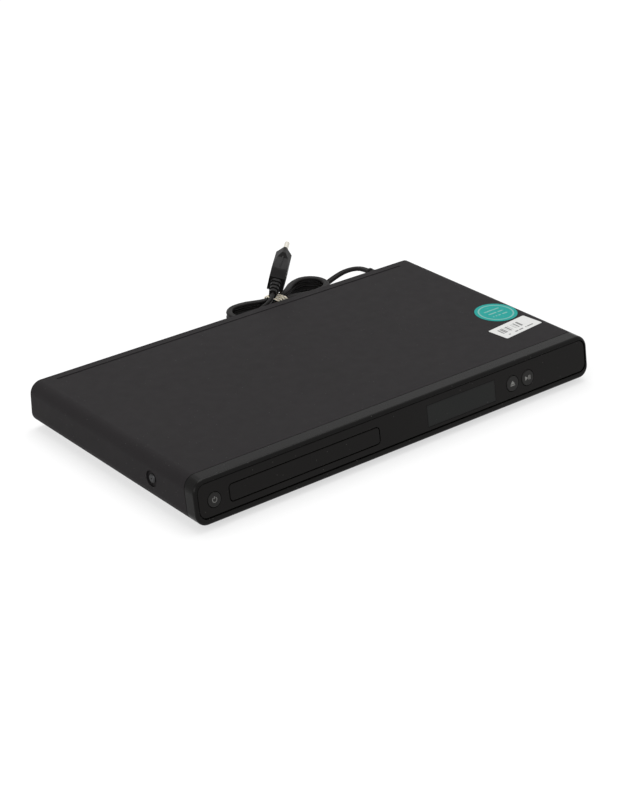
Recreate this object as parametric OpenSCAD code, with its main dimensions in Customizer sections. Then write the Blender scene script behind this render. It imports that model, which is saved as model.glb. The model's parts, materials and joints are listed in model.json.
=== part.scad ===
// Slim disc player with a motor-driven tray, captive mains lead folded and tied behind it.
// Millimetres. X runs left to right seen from the front, -Y is the front, Z is up from the feet.

/* [Casing] */
// Width of the casing
body_w = 360; // [350:1:380]
// Depth of the casing from the front lower edge to the rear edge of the cover
body_d = 199; // [197:1:215]
// Height of the casing without its feet
body_h = 31.6; // [31.4:0.1:36]
// Radius of the upper corners, seen from the front
top_corner_r = 9; // [6:0.2:11]
// Radius of the lower corners, seen from the front
low_corner_r = 8.6; // [6:0.2:10]
// Thickness of the steel sheets
sheet_t = 0.8; // [0.6:0.1:1]
// Clearance between the cover and the pieces that nest in it
nest_gap = 0.2; // [0.15:0.05:0.4]
// Height of the side flanges of the chassis
flange_h = 21; // [20.5:0.5:24]
// Height of the feet
foot_h = 4; // [3:0.5:8]
// Diameter of the feet
foot_d = 18; // [12:1:24]
// Distance of the feet from the casing's sides
foot_inset = 34; // [24:1:60]
// Depth of the dimple round a side screw
dimple_depth = 1.5; // [1:0.1:1.8]
// Radius of the dimple round a side screw
dimple_r = 5.8; // [5:0.1:6.5]
// Distance of the side screws behind the front lower edge
side_screw_d = 51.8; // [40:0.2:70]
// Height of the side screws above the casing's underside
side_screw_h = 16.1; // [14:0.1:18]
// Width of the pressed groove near the rear edge
groove_w = 1.8; // [1:0.1:3]
// Distance of the pressed groove from the rear edge
groove_in = 6.2; // [4:0.2:12]
// Distance of the pressed groove's ends from the sides
groove_end = 18.4; // [14:0.2:40]
// Depth of the pressed groove
groove_depth = 0.4; // [0.2:0.05:0.5]

/* [Front] */
// How far the top of the front face stands behind its lower edge
face_setback = 5.1; // [2:0.1:6]
// Depth of the moulded front panel
panel_d = 10.9; // [10:0.1:13]
// Wall of the moulded front panel
panel_wall = 2; // [1.6:0.1:2.4]
// Gap between the front panel and the cover
seam_gap = 0.4; // [0.2:0.1:0.8]
// Rounding of the front panel's outer edge
edge_r = 2.4; // [1.2:0.1:2.8]
// Border of the front panel beside the fascia
border_side = 2.9; // [2.6:0.1:5]
// Border of the front panel below the fascia
border_low = 5; // [4:0.1:6]
// Border of the front panel above the fascia
border_top = 3.1; // [2.6:0.1:4]
// Corner radius of the fascia
fascia_r = 6; // [4:0.2:8]
// Thickness of the fascia
fascia_t = 2; // [1.4:0.1:2.4]
// How far the fascia lies behind the panel's front edge
fascia_recess = 0.6; // [0.3:0.1:1]
// Width of the groove round the fascia
fascia_groove = 0.6; // [0.3:0.1:1]
// Thickness of the panel's wall behind the fascia
backing_t = 1.6; // [1.2:0.1:2]
// Centre of the display window from the middle of the face
window_x = 53.3; // [50:0.1:56]
// Width of the display window
window_w = 65.2; // [60:0.2:66]
// Height of the display window
window_h = 15.8; // [13:0.1:16]
// Lower edge of the display window above the casing's underside
window_low = 7.7; // [7:0.1:9]

/* [Labels] */
// Thickness of the labels on the cover
label_t = 0.15; // [0.1:0.05:0.2]
// Place of the round label from the middle
sticker_x = 156.5; // [150:0.5:160]
// Place of the round label behind the front lower edge
sticker_d = 76.5; // [70:0.5:90]
// Radius of the round label
sticker_r = 16.3; // [12:0.1:18]
// Place of the oblong label from the middle
label_x = 149; // [140:0.5:155]
// Place of the oblong label behind the front lower edge
label_d = 48; // [40:0.5:52]
// Width of the oblong label
label_w = 40.5; // [30:0.5:50]
// Length of the oblong label from front to rear
label_l = 18.5; // [12:0.5:22]
// Turn of the oblong label
label_turn = 6; // [0:1:8]

/* [Keys] */
// Centre of the power key from the middle of the face
power_x = -164.6; // [-165.5:0.1:-163.5]
// Centre of the eject key from the middle of the face
eject_x = 103; // [102:0.1:104]
// Centre of the play key from the middle of the face
play_x = 118.2; // [117.5:0.1:119]
// Height of the key centres above the casing's underside
key_h = 15.8; // [15:0.1:17]
// Diameter of the eject and play keys
key_d = 11.4; // [9:0.1:11.6]
// Diameter of the power key
power_d = 10.2; // [8:0.1:10.6]
// Running gap round a key
key_gap = 0.35; // [0.25:0.05:0.5]
// Travel of a key
key_travel = 0.6; // [0.3:0.1:0.8]
// How far a key stands out of the fascia
key_proud = 0.3; // [0.1:0.1:0.8]
// Rim of a key behind the panel
key_rim = 1; // [0.6:0.1:1.2]
// Height of a push switch's body on its board
switch_h = 3.5; // [3:0.1:4]
// Distance of the key boards behind the face
board_set = 11.4; // [11.2:0.1:12]

/* [Tray] */
// Centre of the tray from the middle of the face
tray_x = -87.7; // [-88.5:0.1:-86.5]
// Width of the tray's door
door_w = 128.4; // [126:0.2:129]
// Height of the tray's door
door_h = 11.6; // [10.5:0.1:12]
// Lower edge of the door above the casing's underside
door_low = 10; // [9.6:0.1:10.4]
// Corner radius of the door
door_r = 2.5; // [1:0.1:4]
// Thickness of the door
door_t = 2; // [1.4:0.1:2.4]
// Gap round the door
door_gap = 0.6; // [0.4:0.1:0.8]
// Width of the tray
tray_w = 127; // [126:0.2:127.6]
// Height of the tray's underside above the casing's underside
tray_low = 13.2; // [13:0.1:13.4]
// Thickness of the tray's floor under the disc
tray_floor = 1.2; // [1:0.1:1.4]
// Height of the tray's rim over its underside
tray_rim = 4.6; // [4.2:0.1:4.8]
// Front of the tray behind the front lower edge
tray_front = 8.5; // [8:0.1:9]
// Rear of the tray behind the front lower edge
tray_rear = 186; // [182:0.5:186.5]
// Centre of the disc behind the front lower edge
disc_y = 84; // [83:0.2:84.6]
// Radius of the recess for a 120 mm disc
disc_r = 60.5; // [60.3:0.1:61]
// Radius of the inner recess for an 80 mm disc
small_disc_r = 40.5; // [40.2:0.1:42]
// Depth of the inner recess
small_disc_step = 0.5; // [0.2:0.1:0.6]
// Half width of the slot in the tray
slot_r = 18; // [17:0.2:19]
// Rear end of the slot behind the disc's centre
slot_rear = 66; // [64:0.5:67]
// Travel of the tray
tray_travel = 145; // [120:1:146]

/* [Loader] */
// Running gap of sliding plastic parts
slide_gap = 0.3; // [0.2:0.05:0.35]
// Wall of the loader frame
loader_wall = 2.8; // [2.2:0.1:3]
// Height of the loader's floor plate above the casing's underside
deck_low = 4.4; // [4.2:0.1:4.6]
// Thickness of the loader's floor plate
deck_t = 1.6; // [1.4:0.1:1.8]
// Front of the loader behind the front lower edge
loader_front = 12.6; // [12.4:0.1:13]
// Rear of the loader behind the front lower edge
loader_rear = 190; // [189.5:0.1:192]
// Height of the loader's side walls above the casing's underside
loader_top = 21; // [20.5:0.1:22]
// Tooth module of the rack
rack_m = 1; // [0.9:0.02:1.1]
// Teeth of the wheel that drives the rack
rack_teeth = 18; // [16:2:20]
// Tooth module of the reduction
gear_m = 0.8; // [0.75:0.01:0.85]
// Teeth of the big wheel of the reduction
big_teeth = 44; // [40:2:44]
// Teeth of the small wheel of the reduction
small_teeth = 12; // [12:2:14]
// Play between meshing teeth
backlash = 0.3; // [0.2:0.02:0.4]
// Radius of the gear axles
axle_r = 1.5; // [1.2:0.05:1.8]
// Running clearance of axles and shafts
shaft_gap = 0.05; // [0.02:0.01:0.08]
// Distance of the drive gear behind the front lower edge
gear_y = 31.2; // [31:0.1:31.4]
// Radius of the belt wheel
pulley_r = 10.5; // [9:0.1:11]
// Radius of the motor's pulley
motor_pulley_r = 3.4; // [2.8:0.1:4]
// Distance from the belt wheel to the motor
belt_span = 30; // [27:0.5:34]
// Thickness of the belt
belt_t = 1.2; // [0.8:0.1:1.4]
// Radius of the loading motor
motor_r = 12; // [10:0.1:12.4]

/* [Traverse] */
// Distance of the traverse's hinge behind the front lower edge
hinge_y = 176; // [175:0.2:177]
// Height of the hinge above the casing's underside
hinge_h = 8.6; // [8.4:0.1:8.8]
// How far the disc's centre is lowered when the tray moves
hub_lift = 5.6; // [5.4:0.05:5.8]
// Travel of the cam slide
cam_travel = 10; // [9:0.1:11]
// Radius of the hinge pins
hinge_r = 2; // [1.6:0.1:2.2]
// Radius of the turntable
table_r = 15; // [13:0.2:16]
// Height of the disc seat above the casing's underside, raised
seat_h = 16.2; // [16:0.05:16.3]
// Radius of the guide rods
rod_r = 1.5; // [1.2:0.05:1.6]
// Half distance between the guide rods
rod_x = 24.5; // [24:0.1:25]
// Inner reading radius
read_in = 24; // [23.5:0.1:25]
// Travel of the pickup
pickup_travel = 33; // [30:0.5:33.5]
// Radius of the lead screw
screw_r = 1.9; // [1.6:0.05:2]
// Place of the lead screw beside the disc's centre
screw_x = 31; // [30.8:0.1:31.2]

/* [Boards and sockets] */
// Height of the boards above the casing's underside
board_low = 5.6; // [5:0.1:6]
// Thickness of the boards
board_t = 1.6; // [1.2:0.1:1.8]
// How far the phono sockets stand behind the casing
socket_proud = 8; // [6:0.1:10]
// Outer radius of a phono socket's barrel
phono_r = 4.15; // [4.1:0.01:4.2]
// Spacing of the phono sockets
phono_pitch = 14; // [12.5:0.5:14.5]
// Place of the first phono sockets from the middle
phono_x = -6; // [-7:0.5:-4]
// Place of the multi-pin video socket from the middle
scart_x = 48.5; // [46:0.5:52]
// Place of the digital video socket from the middle
hdmi_x = 86; // [84:0.5:88]

/* [Mains lead] */
// Width of the flat twin lead
cord_w = 5.2; // [4.6:0.1:5.4]
// Thickness of the flat twin lead
cord_t = 3.2; // [2.8:0.1:3.3]
// Place of the lead's exit from the middle
exit_x = 160; // [158:0.5:162]
// Height of the lead's exit above the surface the feet stand on
exit_z = 20; // [19:0.5:22]
// Length of the strain relief outside the panel
relief_l = 28; // [22:0.5:40]
// Number of loops in the folded lead
hank_loops = 6; // [4:1:7]
// Length of the plug's body with its relief
plug_l = 42; // [40:0.5:44]
// Width of the plug's body
plug_w = 35.3; // [34:0.1:36]
// Thickness of the plug's body
plug_t = 12.6; // [11:0.1:13.7]
// Length of the plug's pins
pin_l = 19; // [18:0.5:19.5]
// Radius of the plug's pins
pin_r = 2; // [1.9:0.05:2.4]
// Distance between the plug's pins
pin_pitch = 18.6; // [17:0.1:19.2]

/* [Hidden] */

$fn = 64;
hull_fn = 24;
slice = 0.01;
over = 1;

black = [0.07, 0.07, 0.075];
charcoal = [0.13, 0.13, 0.14];
steel = [0.66, 0.67, 0.68];
white_plastic = [0.86, 0.86, 0.83];
board_green = [0.1, 0.32, 0.16];
dark_rubber = [0.05, 0.05, 0.05];

// Places of the casing
half_w = body_w / 2;
face_slope = face_setback / body_h;
lean = atan(face_slope);
front_y = -(body_d + socket_proud + edge_r * face_slope) / 2;
rear_y = front_y + body_d;
top_z = foot_h + body_h;
floor_top = foot_h + sheet_t;
nest = sheet_t + nest_gap;
floor_half = half_w - low_corner_r - nest_gap;
panel_back_y = rear_y - sheet_t;
board_end_y = rear_y - 2 * sheet_t - nest_gap;

function fy(d) = front_y + d;
function fz(h) = foot_h + h;

// Layers of the front, counted horizontally from the panel's front edge
fascia_back = fascia_recess + fascia_t;
backing_back = fascia_back + backing_t;
fascia_w = body_w - 2 * border_side;
fascia_h = body_h - border_low - border_top;
fascia_mid = border_low + fascia_h / 2;
window_mid = window_low + window_h / 2;
window_gap = 0.15;
window_ledge = 1.5;
tongue_t = 1.2;
tongue_l = 4;
flange_start = panel_d + seam_gap + tongue_l + 3;

// Keys, counted along the face's normal
key_front = fascia_recess * cos(lean) - key_proud;
key_seat = backing_back * cos(lean);
switch_top = board_set - switch_h;
plunger_top = switch_top - 1.1;
plunger_r = 1.65;
plunger_in = 1.8;
plunger_gap = 0.1;
stem_r = 2;
key_posts = [[16, 8.6], [16, 24.4], [91.2, 8.6], [91.2, 24.4], [130, 8.6], [130, 24.4],
  [-172, 21.8], [-158.2, 9.2]];
post_r = 2.2;
switch_half = 3;
switch_spare = 0.3;
key_board_x = [12, 134];
power_board_x = [-174.4, -156.4];
key_board_h = [5.8, 27.4];
power_key_board_h = [7.4, 24];

// Tray and loader
door_mid = door_low + door_h / 2;
opening_w = door_w + 2 * door_gap;
opening_h = door_h + 2 * door_gap;
tray_half = tray_w / 2;
tray_top = tray_low + tray_rim;
tray_base = tray_low + tray_floor;
tray_skin = 1.4;
tray_edge = 3.4;
slot_wall = 2;
guide_w = 3;
loader_in = tray_half + slide_gap + 0.4;
loader_out = loader_in + loader_wall;
ledge_t = 1.3;
deck_top = deck_low + deck_t;
well_half = 50;
well_front = 50;
well_rear = hinge_y + 5;

// Gears
rack_top = tray_low;
rack_depth = 2.7;
rack_low = rack_top - rack_depth;
rack_line = tray_x - tray_half + 9.5;
rack_bar = 3.2;
rack_pitch_r = rack_m * rack_teeth / 2;
drive_x = rack_line + rack_pitch_r;
gear_span = gear_m * (big_teeth + small_teeth) / 2;
pulley_x = drive_x + gear_span;
motor_x = pulley_x + belt_span;
wheel_low = deck_top + 0.5;
wheel_t = 2.2;
upper_low = rack_low - 0.1;
upper_t = 2.3;
pulley_low = upper_low - 0.5;
pulley_t = 2.5;
belt_h = pulley_low + pulley_t / 2;
belt_gap = 0.3;
motor_low = 1.1;
motor_top = 8.3;
add_part = 0.85;
ded_part = 1.2;
pressure = 20;

// Traverse, heights given for its raised place
lift_angle = asin(hub_lift / (hinge_y - disc_y));
ring_low = seat_h - 7;
ring_t = 3;
ring_half = 46;
ring_in = 40;
ring_front = disc_y - 26.5;
ring_rear = hinge_y + 4;
bar_w = 5.5;
tab_t = 1;
damper_t = 0.8;
traverse_low = ring_low + tab_t + damper_t;
traverse_t = 1.2;
traverse_half = 39.4;
damper_x = 37;
damper_d = [disc_y - 16, disc_y + 66];
rod_h = traverse_low - 0.9;
rod_front = disc_y + 10;
rod_rear = disc_y + read_in + pickup_travel + 14;
screw_h = rod_h - 1.7;
sled_motor_r = 4.2;
sled_motor_d = [disc_y + 72, disc_y + 83];
pin_h = ring_low + 1.4;
lift_pin_r = 1.2;
lift_pins = [-34, 26];
cam_y = disc_y - 32.8;
cam_t = 3;
cam_low = 1.1;
cam_top = 12.6;
cam_play = 0.35;
cam_x = [-48, 31];
guide_pins = [-16, 8];
guide_pin_r = 1.4;
guide_pin_h = 8.2;
hinge_ear_x = [46.8, 52];
pin_reach = hinge_y - cam_y - 1.5;
pin_drop = hinge_h + (pin_h - hinge_h) * cos(lift_angle) - pin_reach * sin(lift_angle);

// Clamp
bridge_t = 1.4;
bridge_half = 15;
boss_r = 3.2;
boss_x = loader_out + 1.2;
puck_low = seat_h + 0.2;
puck_r = 13.5;
neck_r = 8.9;
puck_top = loader_top + bridge_t + slide_gap;
puck_cup = 1.9;
magnet_r = 6.05;
magnet_low = puck_low + puck_cup + 0.8;
magnet_t = 2.6;

can_r = 10.4;
can_top = traverse_low + traverse_t + 1;
hub_r = 7.4;
journal_r = 1;
pickup_half = 27.3;

// Boards
board_z = foot_h + board_low;
board_top = board_z + board_t;
main_span = [-14, 98];
main_depth = [100, 197];
power_board_span = [106, 171];
power_board_depth = [100, 188];
screw_shank_r = 1.3;
screw_hole_r = 1.35;
screw_head_r = 2.6;
screw_head_t = 1.4;
cover_head_r = 3.3;
main_posts = [[-9, 105], [92, 105], [-9, 170], [92, 170]];
power_posts = [[111, 105], [166, 105], [111, 183], [166, 165]];
loader_legs = [[-61, 46], [61, 46], [-60.5, 184.5], [60.5, 184.5]];
phono_rows = [4.8, 1.2 + phono_pitch];
hdmi_w = 15;
hdmi_t = 5.6;
scart_w = 47;
scart_h = 14;
phono_bore_r = 1.6;
relief_neck_r = 4.2;

// Screws of the cover at the rear
tab_x = [-150, 22, 104];
tab_w = 14;
tab_drop = 10;
rear_screw_z = top_z - 6.5;

module round_box2d(inset, fn = $fn) {
  upper = top_corner_r - inset;
  lower = low_corner_r - inset;
  half = half_w - inset;
  z0 = foot_h + inset;
  z1 = top_z - inset;
  translate([-half, z0 + lower]) square([2 * half, z1 - z0 - upper - lower]);
  translate([-half + upper, z0 + lower]) square([2 * (half - upper), z1 - z0 - lower]);
  translate([-half + lower, z0]) square([2 * (half - lower), z1 - z0 - upper]);
  for (side = [-1, 1]) {
    translate([side * (half - upper), z1 - upper]) circle(r = upper, $fn = fn);
    translate([side * (half - lower), z0 + lower]) circle(r = lower, $fn = fn);
  }
}

module rounded2d(w, h, r) {
  square([w - 2 * r, h], center = true);
  square([w, h - 2 * r], center = true);
  for (sx = [-1, 1])
    for (sy = [-1, 1])
      translate([sx * (w / 2 - r), sy * (h / 2 - r)]) circle(r = r);
}

// Extrudes a drawing of X and Z along Y
module along_y(y0, y1) {
  translate([0, y1, 0]) rotate([90, 0, 0]) linear_extrude(y1 - y0) children();
}

// Everything between two planes that lean as the face does
module lean_slab(d0, d1) {
  reach = 5;
  low = [foot_h - reach, -face_slope * reach];
  high = [top_z + reach, face_slope * (body_h + reach)];
  rotate([90, 0, 90]) translate([0, 0, -half_w - reach]) linear_extrude(body_w + 2 * reach)
    polygon([[fy(d0) + low[1], low[0]], [fy(d1) + low[1], low[0]],
      [fy(d1) + high[1], high[0]], [fy(d0) + high[1], high[0]]]);
}

// A block of the casing's width between the leaning planes, with a drawing of X and Z
module lean_prism(d0, d1) {
  intersection() {
    along_y(front_y - over, fy(d1) + 2 * face_setback) children();
    lean_slab(d0, d1);
  }
}

module on_face(x, h) {
  translate([x, fy(h * face_slope), fz(h)]) rotate([-lean, 0, 0]) children();
}

module normal_rod(l0, l1, r) {
  translate([0, l0, 0]) rotate([-90, 0, 0]) cylinder(h = l1 - l0, r = r);
}

module block(x, y, z) {
  translate([x[0], y[0], z[0]]) cube([x[1] - x[0], y[1] - y[0], z[1] - z[0]]);
}

module rod_y(x, z, y0, y1, r) {
  translate([x, y0, z]) rotate([-90, 0, 0]) cylinder(h = y1 - y0, r = r);
}

module post(x, y, z0, z1, r) {
  translate([x, y, z0]) cylinder(h = z1 - z0, r = r);
}

// ---- casing ----

module lean_outline(d, inset) {
  translate([0, fy(d), foot_h]) rotate([-lean, 0, 0]) rotate([90, 0, 0])
    linear_extrude(slice) scale([1, 1 / cos(lean)]) translate([0, -foot_h])
      round_box2d(inset, hull_fn);
}

module top_cover() {
  hole_half = half_w - low_corner_r;
  color(charcoal) difference() {
    union() {
      difference() {
        lean_prism_rear(panel_d + seam_gap) round_box2d(0);
        along_y(front_y, rear_y + over) round_box2d(sheet_t);
        block([-hole_half, hole_half], [front_y, rear_y + over], [0, foot_h + 2 * sheet_t]);
      }
      for (side = [-1, 1])
        translate([side * (half_w - sheet_t / 2), fy(side_screw_d), fz(side_screw_h)])
          rotate([0, -90 * side, 0])
            cylinder(h = dimple_depth + sheet_t / 2, r = dimple_r + sheet_t);
      for (x = tab_x)
        block([x - tab_w / 2, x + tab_w / 2], [rear_y - sheet_t, rear_y],
          [top_z - tab_drop, top_z - sheet_t / 2]);
    }
    for (side = [-1, 1])
      translate([side * half_w, fy(side_screw_d), fz(side_screw_h)]) rotate([0, -90 * side, 0]) {
        translate([0, 0, -over]) cylinder(h = dimple_depth + over, r = dimple_r);
        cylinder(h = dimple_depth + 2 * sheet_t, r = screw_hole_r + 0.3);
      }
    block([-half_w + groove_end, half_w - groove_end],
      [rear_y - groove_in - groove_w, rear_y - groove_in], [top_z - groove_depth, top_z + over]);
    for (x = tab_x)
      rod_y(x, rear_screw_z, rear_y - 2 * sheet_t, rear_y + over, screw_hole_r + 0.3);
  }
}

module lean_prism_rear(d0) {
  intersection() {
    along_y(front_y, rear_y) children();
    lean_slab(d0, body_d + 2 * face_setback);
  }
}

module flange2d() {
  step_x = floor_half - sheet_t;
  difference() {
    round_box2d(nest);
    round_box2d(nest + sheet_t);
    translate([-half_w, fz(flange_h)]) square([body_w, body_h]);
    translate([-step_x, 0]) square([2 * step_x, top_z]);
  }
  for (side = [-1, 1])
    translate([side * (floor_half - sheet_t / 2) - sheet_t / 2, foot_h])
      square([sheet_t, nest + sheet_t]);
}

module bottom_chassis() {
  screw_z = fz(side_screw_h);
  pad_x = half_w - nest;
  color(steel) difference() {
    union() {
      lean_prism_rear(panel_d + seam_gap)
        translate([-floor_half, foot_h]) square([2 * floor_half, sheet_t]);
      along_y(fy(flange_start), rear_y - 2 * sheet_t - nest_gap) flange2d();
      for (side = [-1, 1])
        translate([side * pad_x, fy(side_screw_d), screw_z]) rotate([0, -90 * side, 0])
          cylinder(h = dimple_depth + 2 * sheet_t - nest, r = dimple_r + 2.2 * sheet_t,
            $fn = $fn);
      for (p = main_posts)
        post(p[0], fy(p[1]), floor_top - sheet_t / 2, board_z, 3);
      for (p = power_posts)
        post(p[0], fy(p[1]), floor_top - sheet_t / 2, board_z, 3);
    }
    for (side = [-1, 1])
      translate([side * half_w, fy(side_screw_d), screw_z]) rotate([0, -90 * side, 0]) {
        cylinder(h = dimple_depth + sheet_t, r = dimple_r + 1.2 * sheet_t);
        cylinder(h = 3 * dimple_depth + 3 * sheet_t, r = screw_hole_r);
      }
    for (p = concat(main_posts, power_posts))
      post(p[0], fy(p[1]), floor_top, board_z + over, screw_hole_r);
    for (p = loader_legs)
      post(tray_x + p[0], fy(p[1]), foot_h - over, floor_top + over, screw_hole_r);
  }
}

module rear_panel() {
  color(steel) difference() {
    along_y(rear_y - 2 * sheet_t, panel_back_y) round_box2d(nest);
    for (column = [0, 1])
      for (row = phono_rows)
        rod_y(phono_x + column * phono_pitch, board_top + row, rear_y - 3, rear_y, 5.4);
    for (column = [0, 1])
      block([phono_x + column * phono_pitch - 5, phono_x + column * phono_pitch + 5],
        [rear_y - 3, rear_y], [board_top + phono_rows[0], board_top + phono_rows[1]]);
    block([scart_x - scart_w / 2 - 0.4, scart_x + scart_w / 2 + 0.4], [rear_y - 3, rear_y],
      [board_top - 0.4, board_top + scart_h + 0.4]);
    block([hdmi_x - hdmi_w / 2 - 0.4, hdmi_x + hdmi_w / 2 + 0.4], [rear_y - 3, rear_y],
      [board_top - 0.4, board_top + hdmi_t + 0.4]);
    for (x = tab_x)
      rod_y(x, rear_screw_z, rear_y - 3, rear_y, screw_hole_r);
    rod_y(exit_x, exit_z, rear_y - 3, rear_y, relief_neck_r + 0.1);
    for (i = [0:13])
      block([-140 + 7 * i, -137 + 7 * i], [rear_y - 3, rear_y], [fz(9), fz(23)]);
  }
}

module feet() {
  for (sx = [-1, 1])
    for (d = [26, body_d - 24])
      color(dark_rubber) translate([sx * (half_w - foot_inset), fy(d), 0])
        rotate_extrude()
          polygon([[0, 0], [foot_d / 2 - 1, 0], [foot_d / 2, 1], [foot_d / 2, foot_h],
            [0, foot_h]]);
}

// Head towards +Z from the origin, shank below it
module pan_screw(shank, head_r = screw_head_r) {
  rotate_extrude()
    polygon([[0, -shank], [screw_shank_r, -shank], [screw_shank_r, 0], [head_r, 0],
      [head_r, 0.7], [head_r - 0.8, screw_head_t], [0.5, screw_head_t],
      [0.5, screw_head_t - 0.8], [0, screw_head_t - 0.8]]);
}

module cover_screws() {
  color(black) {
    for (side = [-1, 1])
      translate([side * (half_w - dimple_depth), fy(side_screw_d), fz(side_screw_h)])
        rotate([0, 90 * side, 0]) pan_screw(4, cover_head_r);
    for (x = tab_x)
      translate([x, rear_y, rear_screw_z]) rotate([-90, 0, 0]) pan_screw(5, cover_head_r);
  }
}

// ---- front ----

module panel_body() {
  hull() {
    for (turn = [0:30:90])
      lean_outline(edge_r * (1 - cos(turn)), edge_r * (1 - sin(turn)));
    lean_outline(panel_d, 0);
  }
}

module face2d(x, h, w, tall, r) {
  translate([x, fz(h)]) rounded2d(w, tall, r);
}

module key_holes() {
  on_face(power_x, key_h) normal_rod(-over, panel_d, power_d / 2 + key_gap);
  for (x = [eject_x, play_x])
    on_face(x, key_h) normal_rod(-over, panel_d, key_d / 2 + key_gap);
}

module front_panel() {
  color(black) difference() {
    union() {
      difference() {
        panel_body();
        lean_prism(backing_back, panel_d + over) round_box2d(panel_wall);
        lean_prism(-over, fascia_back)
          face2d(0, fascia_mid, fascia_w + 2 * fascia_groove,
            fascia_h + 2 * fascia_groove, fascia_r + fascia_groove);
      }
      lean_prism(panel_d - tongue_t, panel_d + tongue_l) difference() {
        round_box2d(nest);
        round_box2d(nest + tongue_t);
      }
      for (p = key_posts)
        on_face(p[0], p[1]) normal_rod(backing_back - backing_t / 2, board_set, post_r);
    }
    lean_prism(-over, panel_d + over) {
      face2d(tray_x, door_mid, opening_w, opening_h, door_r + door_gap);
      face2d(window_x, window_mid, window_w - 2 * window_ledge, window_h - 2 * window_ledge, 0.5);
    }
    key_holes();
  }
}

module front_fascia() {
  color([0.06, 0.055, 0.05]) difference() {
    lean_prism(fascia_recess, fascia_back) difference() {
      face2d(0, fascia_mid, fascia_w, fascia_h, fascia_r);
      face2d(tray_x, door_mid, opening_w, opening_h, door_r + door_gap);
      face2d(window_x, window_mid, window_w + 2 * window_gap, window_h + 2 * window_gap, 0.6);
    }
    key_holes();
  }
}

module display_window() {
  color([0.1, 0.12, 0.11]) lean_prism(fascia_recess, fascia_back)
    face2d(window_x, window_mid, window_w, window_h, 0.5);
}

module tray_door() {
  color(black) {
    lean_prism(fascia_recess, fascia_recess + door_t)
      face2d(tray_x, door_mid, door_w, door_h, door_r);
    // two lugs behind the door that meet the front wall of the tray
    for (side = [-1, 1])
      intersection() {
        lean_slab(fascia_recess + door_t / 2, panel_d);
        block([tray_x + side * 44 - 5, tray_x + side * 44 + 5], [front_y, fy(tray_front)],
          [fz(tray_low + 0.4), fz(tray_top - 0.6)]);
      }
  }
}

module key(d) {
  color(black) {
    normal_rod(key_front, key_seat + key_rim / 2, d / 2);
    normal_rod(key_seat, key_seat + key_rim, d / 2 + key_rim);
    normal_rod(key_seat, plunger_top, stem_r);
  }
}

module power_button() { on_face(power_x, key_h) key(power_d); }
module eject_button() { on_face(eject_x, key_h) key(key_d); }
module play_button() { on_face(play_x, key_h) key(key_d); }

module plunger() {
  color(white_plastic) normal_rod(plunger_top, switch_top + plunger_in, plunger_r);
}

module power_plunger() { on_face(power_x, key_h) plunger(); }
module eject_plunger() { on_face(eject_x, key_h) plunger(); }
module play_plunger() { on_face(play_x, key_h) plunger(); }

module tact_switches() {
  for (x = [power_x, eject_x, play_x])
    color(steel) on_face(x, key_h) difference() {
      block([-switch_half, switch_half], [switch_top, board_set],
        [-switch_half, switch_half]);
      normal_rod(switch_top - over, switch_top + plunger_in + key_travel + switch_spare,
        plunger_r + plunger_gap);
    }
}

module front_boards() {
  color(board_green) {
    on_face(0, 0) block(key_board_x, [board_set, board_set + board_t], key_board_h);
    on_face(0, 0) block(power_board_x, [board_set, board_set + board_t], power_key_board_h);
  }
}

module display_module() {
  edge = 1.2;
  color([0.16, 0.2, 0.19]) on_face(window_x, window_mid) {
    block([-window_w / 2 + edge, window_w / 2 - edge], [key_seat + 1.6, board_set - 2],
      [-window_h / 2 + edge, window_h / 2 - edge]);
    block([-window_w / 2 + 3, window_w / 2 - 3], [board_set - 2, board_set],
      [-window_h / 2 + 2.4, window_h / 2 - 2.4]);
  }
}

module round_sticker() {
  color([0.02, 0.42, 0.4]) post(sticker_x, fy(sticker_d), top_z, top_z + label_t, sticker_r);
}

module blank_label() {
  color([0.9, 0.9, 0.9]) translate([label_x, fy(label_d), top_z]) rotate([0, 0, label_turn])
    linear_extrude(label_t) rounded2d(label_w, label_l, 1.2);
}

// ---- tray ----

module tray_pocket2d() {
  difference() {
    translate([-tray_half + tray_edge, fy(tray_front) + tray_edge - 1])
      square([tray_w - 2 * tray_edge, tray_rear - tray_front - 2 * tray_edge + 2]);
    translate([0, fy(disc_y)]) circle(r = disc_r + 1.8, );
    translate([-slot_r - slot_wall, fy(disc_y)])
      square([2 * (slot_r + slot_wall), body_d]);
    translate([rack_line - tray_x - rack_bar - 1, front_y]) square([rack_bar + 1.6, body_d]);
  }
}

module rack2d() {
  pitch = PI * rack_m;
  quarter = pitch / 4 - backlash / 4;
  slope = tan(pressure);
  tip = add_part * rack_m;
  root = ded_part * rack_m;
  first = ceil((tray_front + 16 - gear_y) / pitch);
  last = floor(min(tray_rear - 4 - gear_y, tray_travel + 6) / pitch);
  translate([-root - rack_bar + rack_m, fy(gear_y + first * pitch)])
    square([rack_bar - rack_m, (last - first) * pitch + pitch]);
  // a tooth of the wheel stands in the gap at gear_y, so teeth sit half a pitch from it
  for (i = [first:last])
    translate([0, fy(gear_y + (i + 0.5) * pitch)])
      polygon([[-root - 0.2, -quarter - (root + 0.2) * slope], [tip, -quarter + tip * slope],
        [tip, quarter - tip * slope], [-root - 0.2, quarter + (root + 0.2) * slope]]);
}

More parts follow.
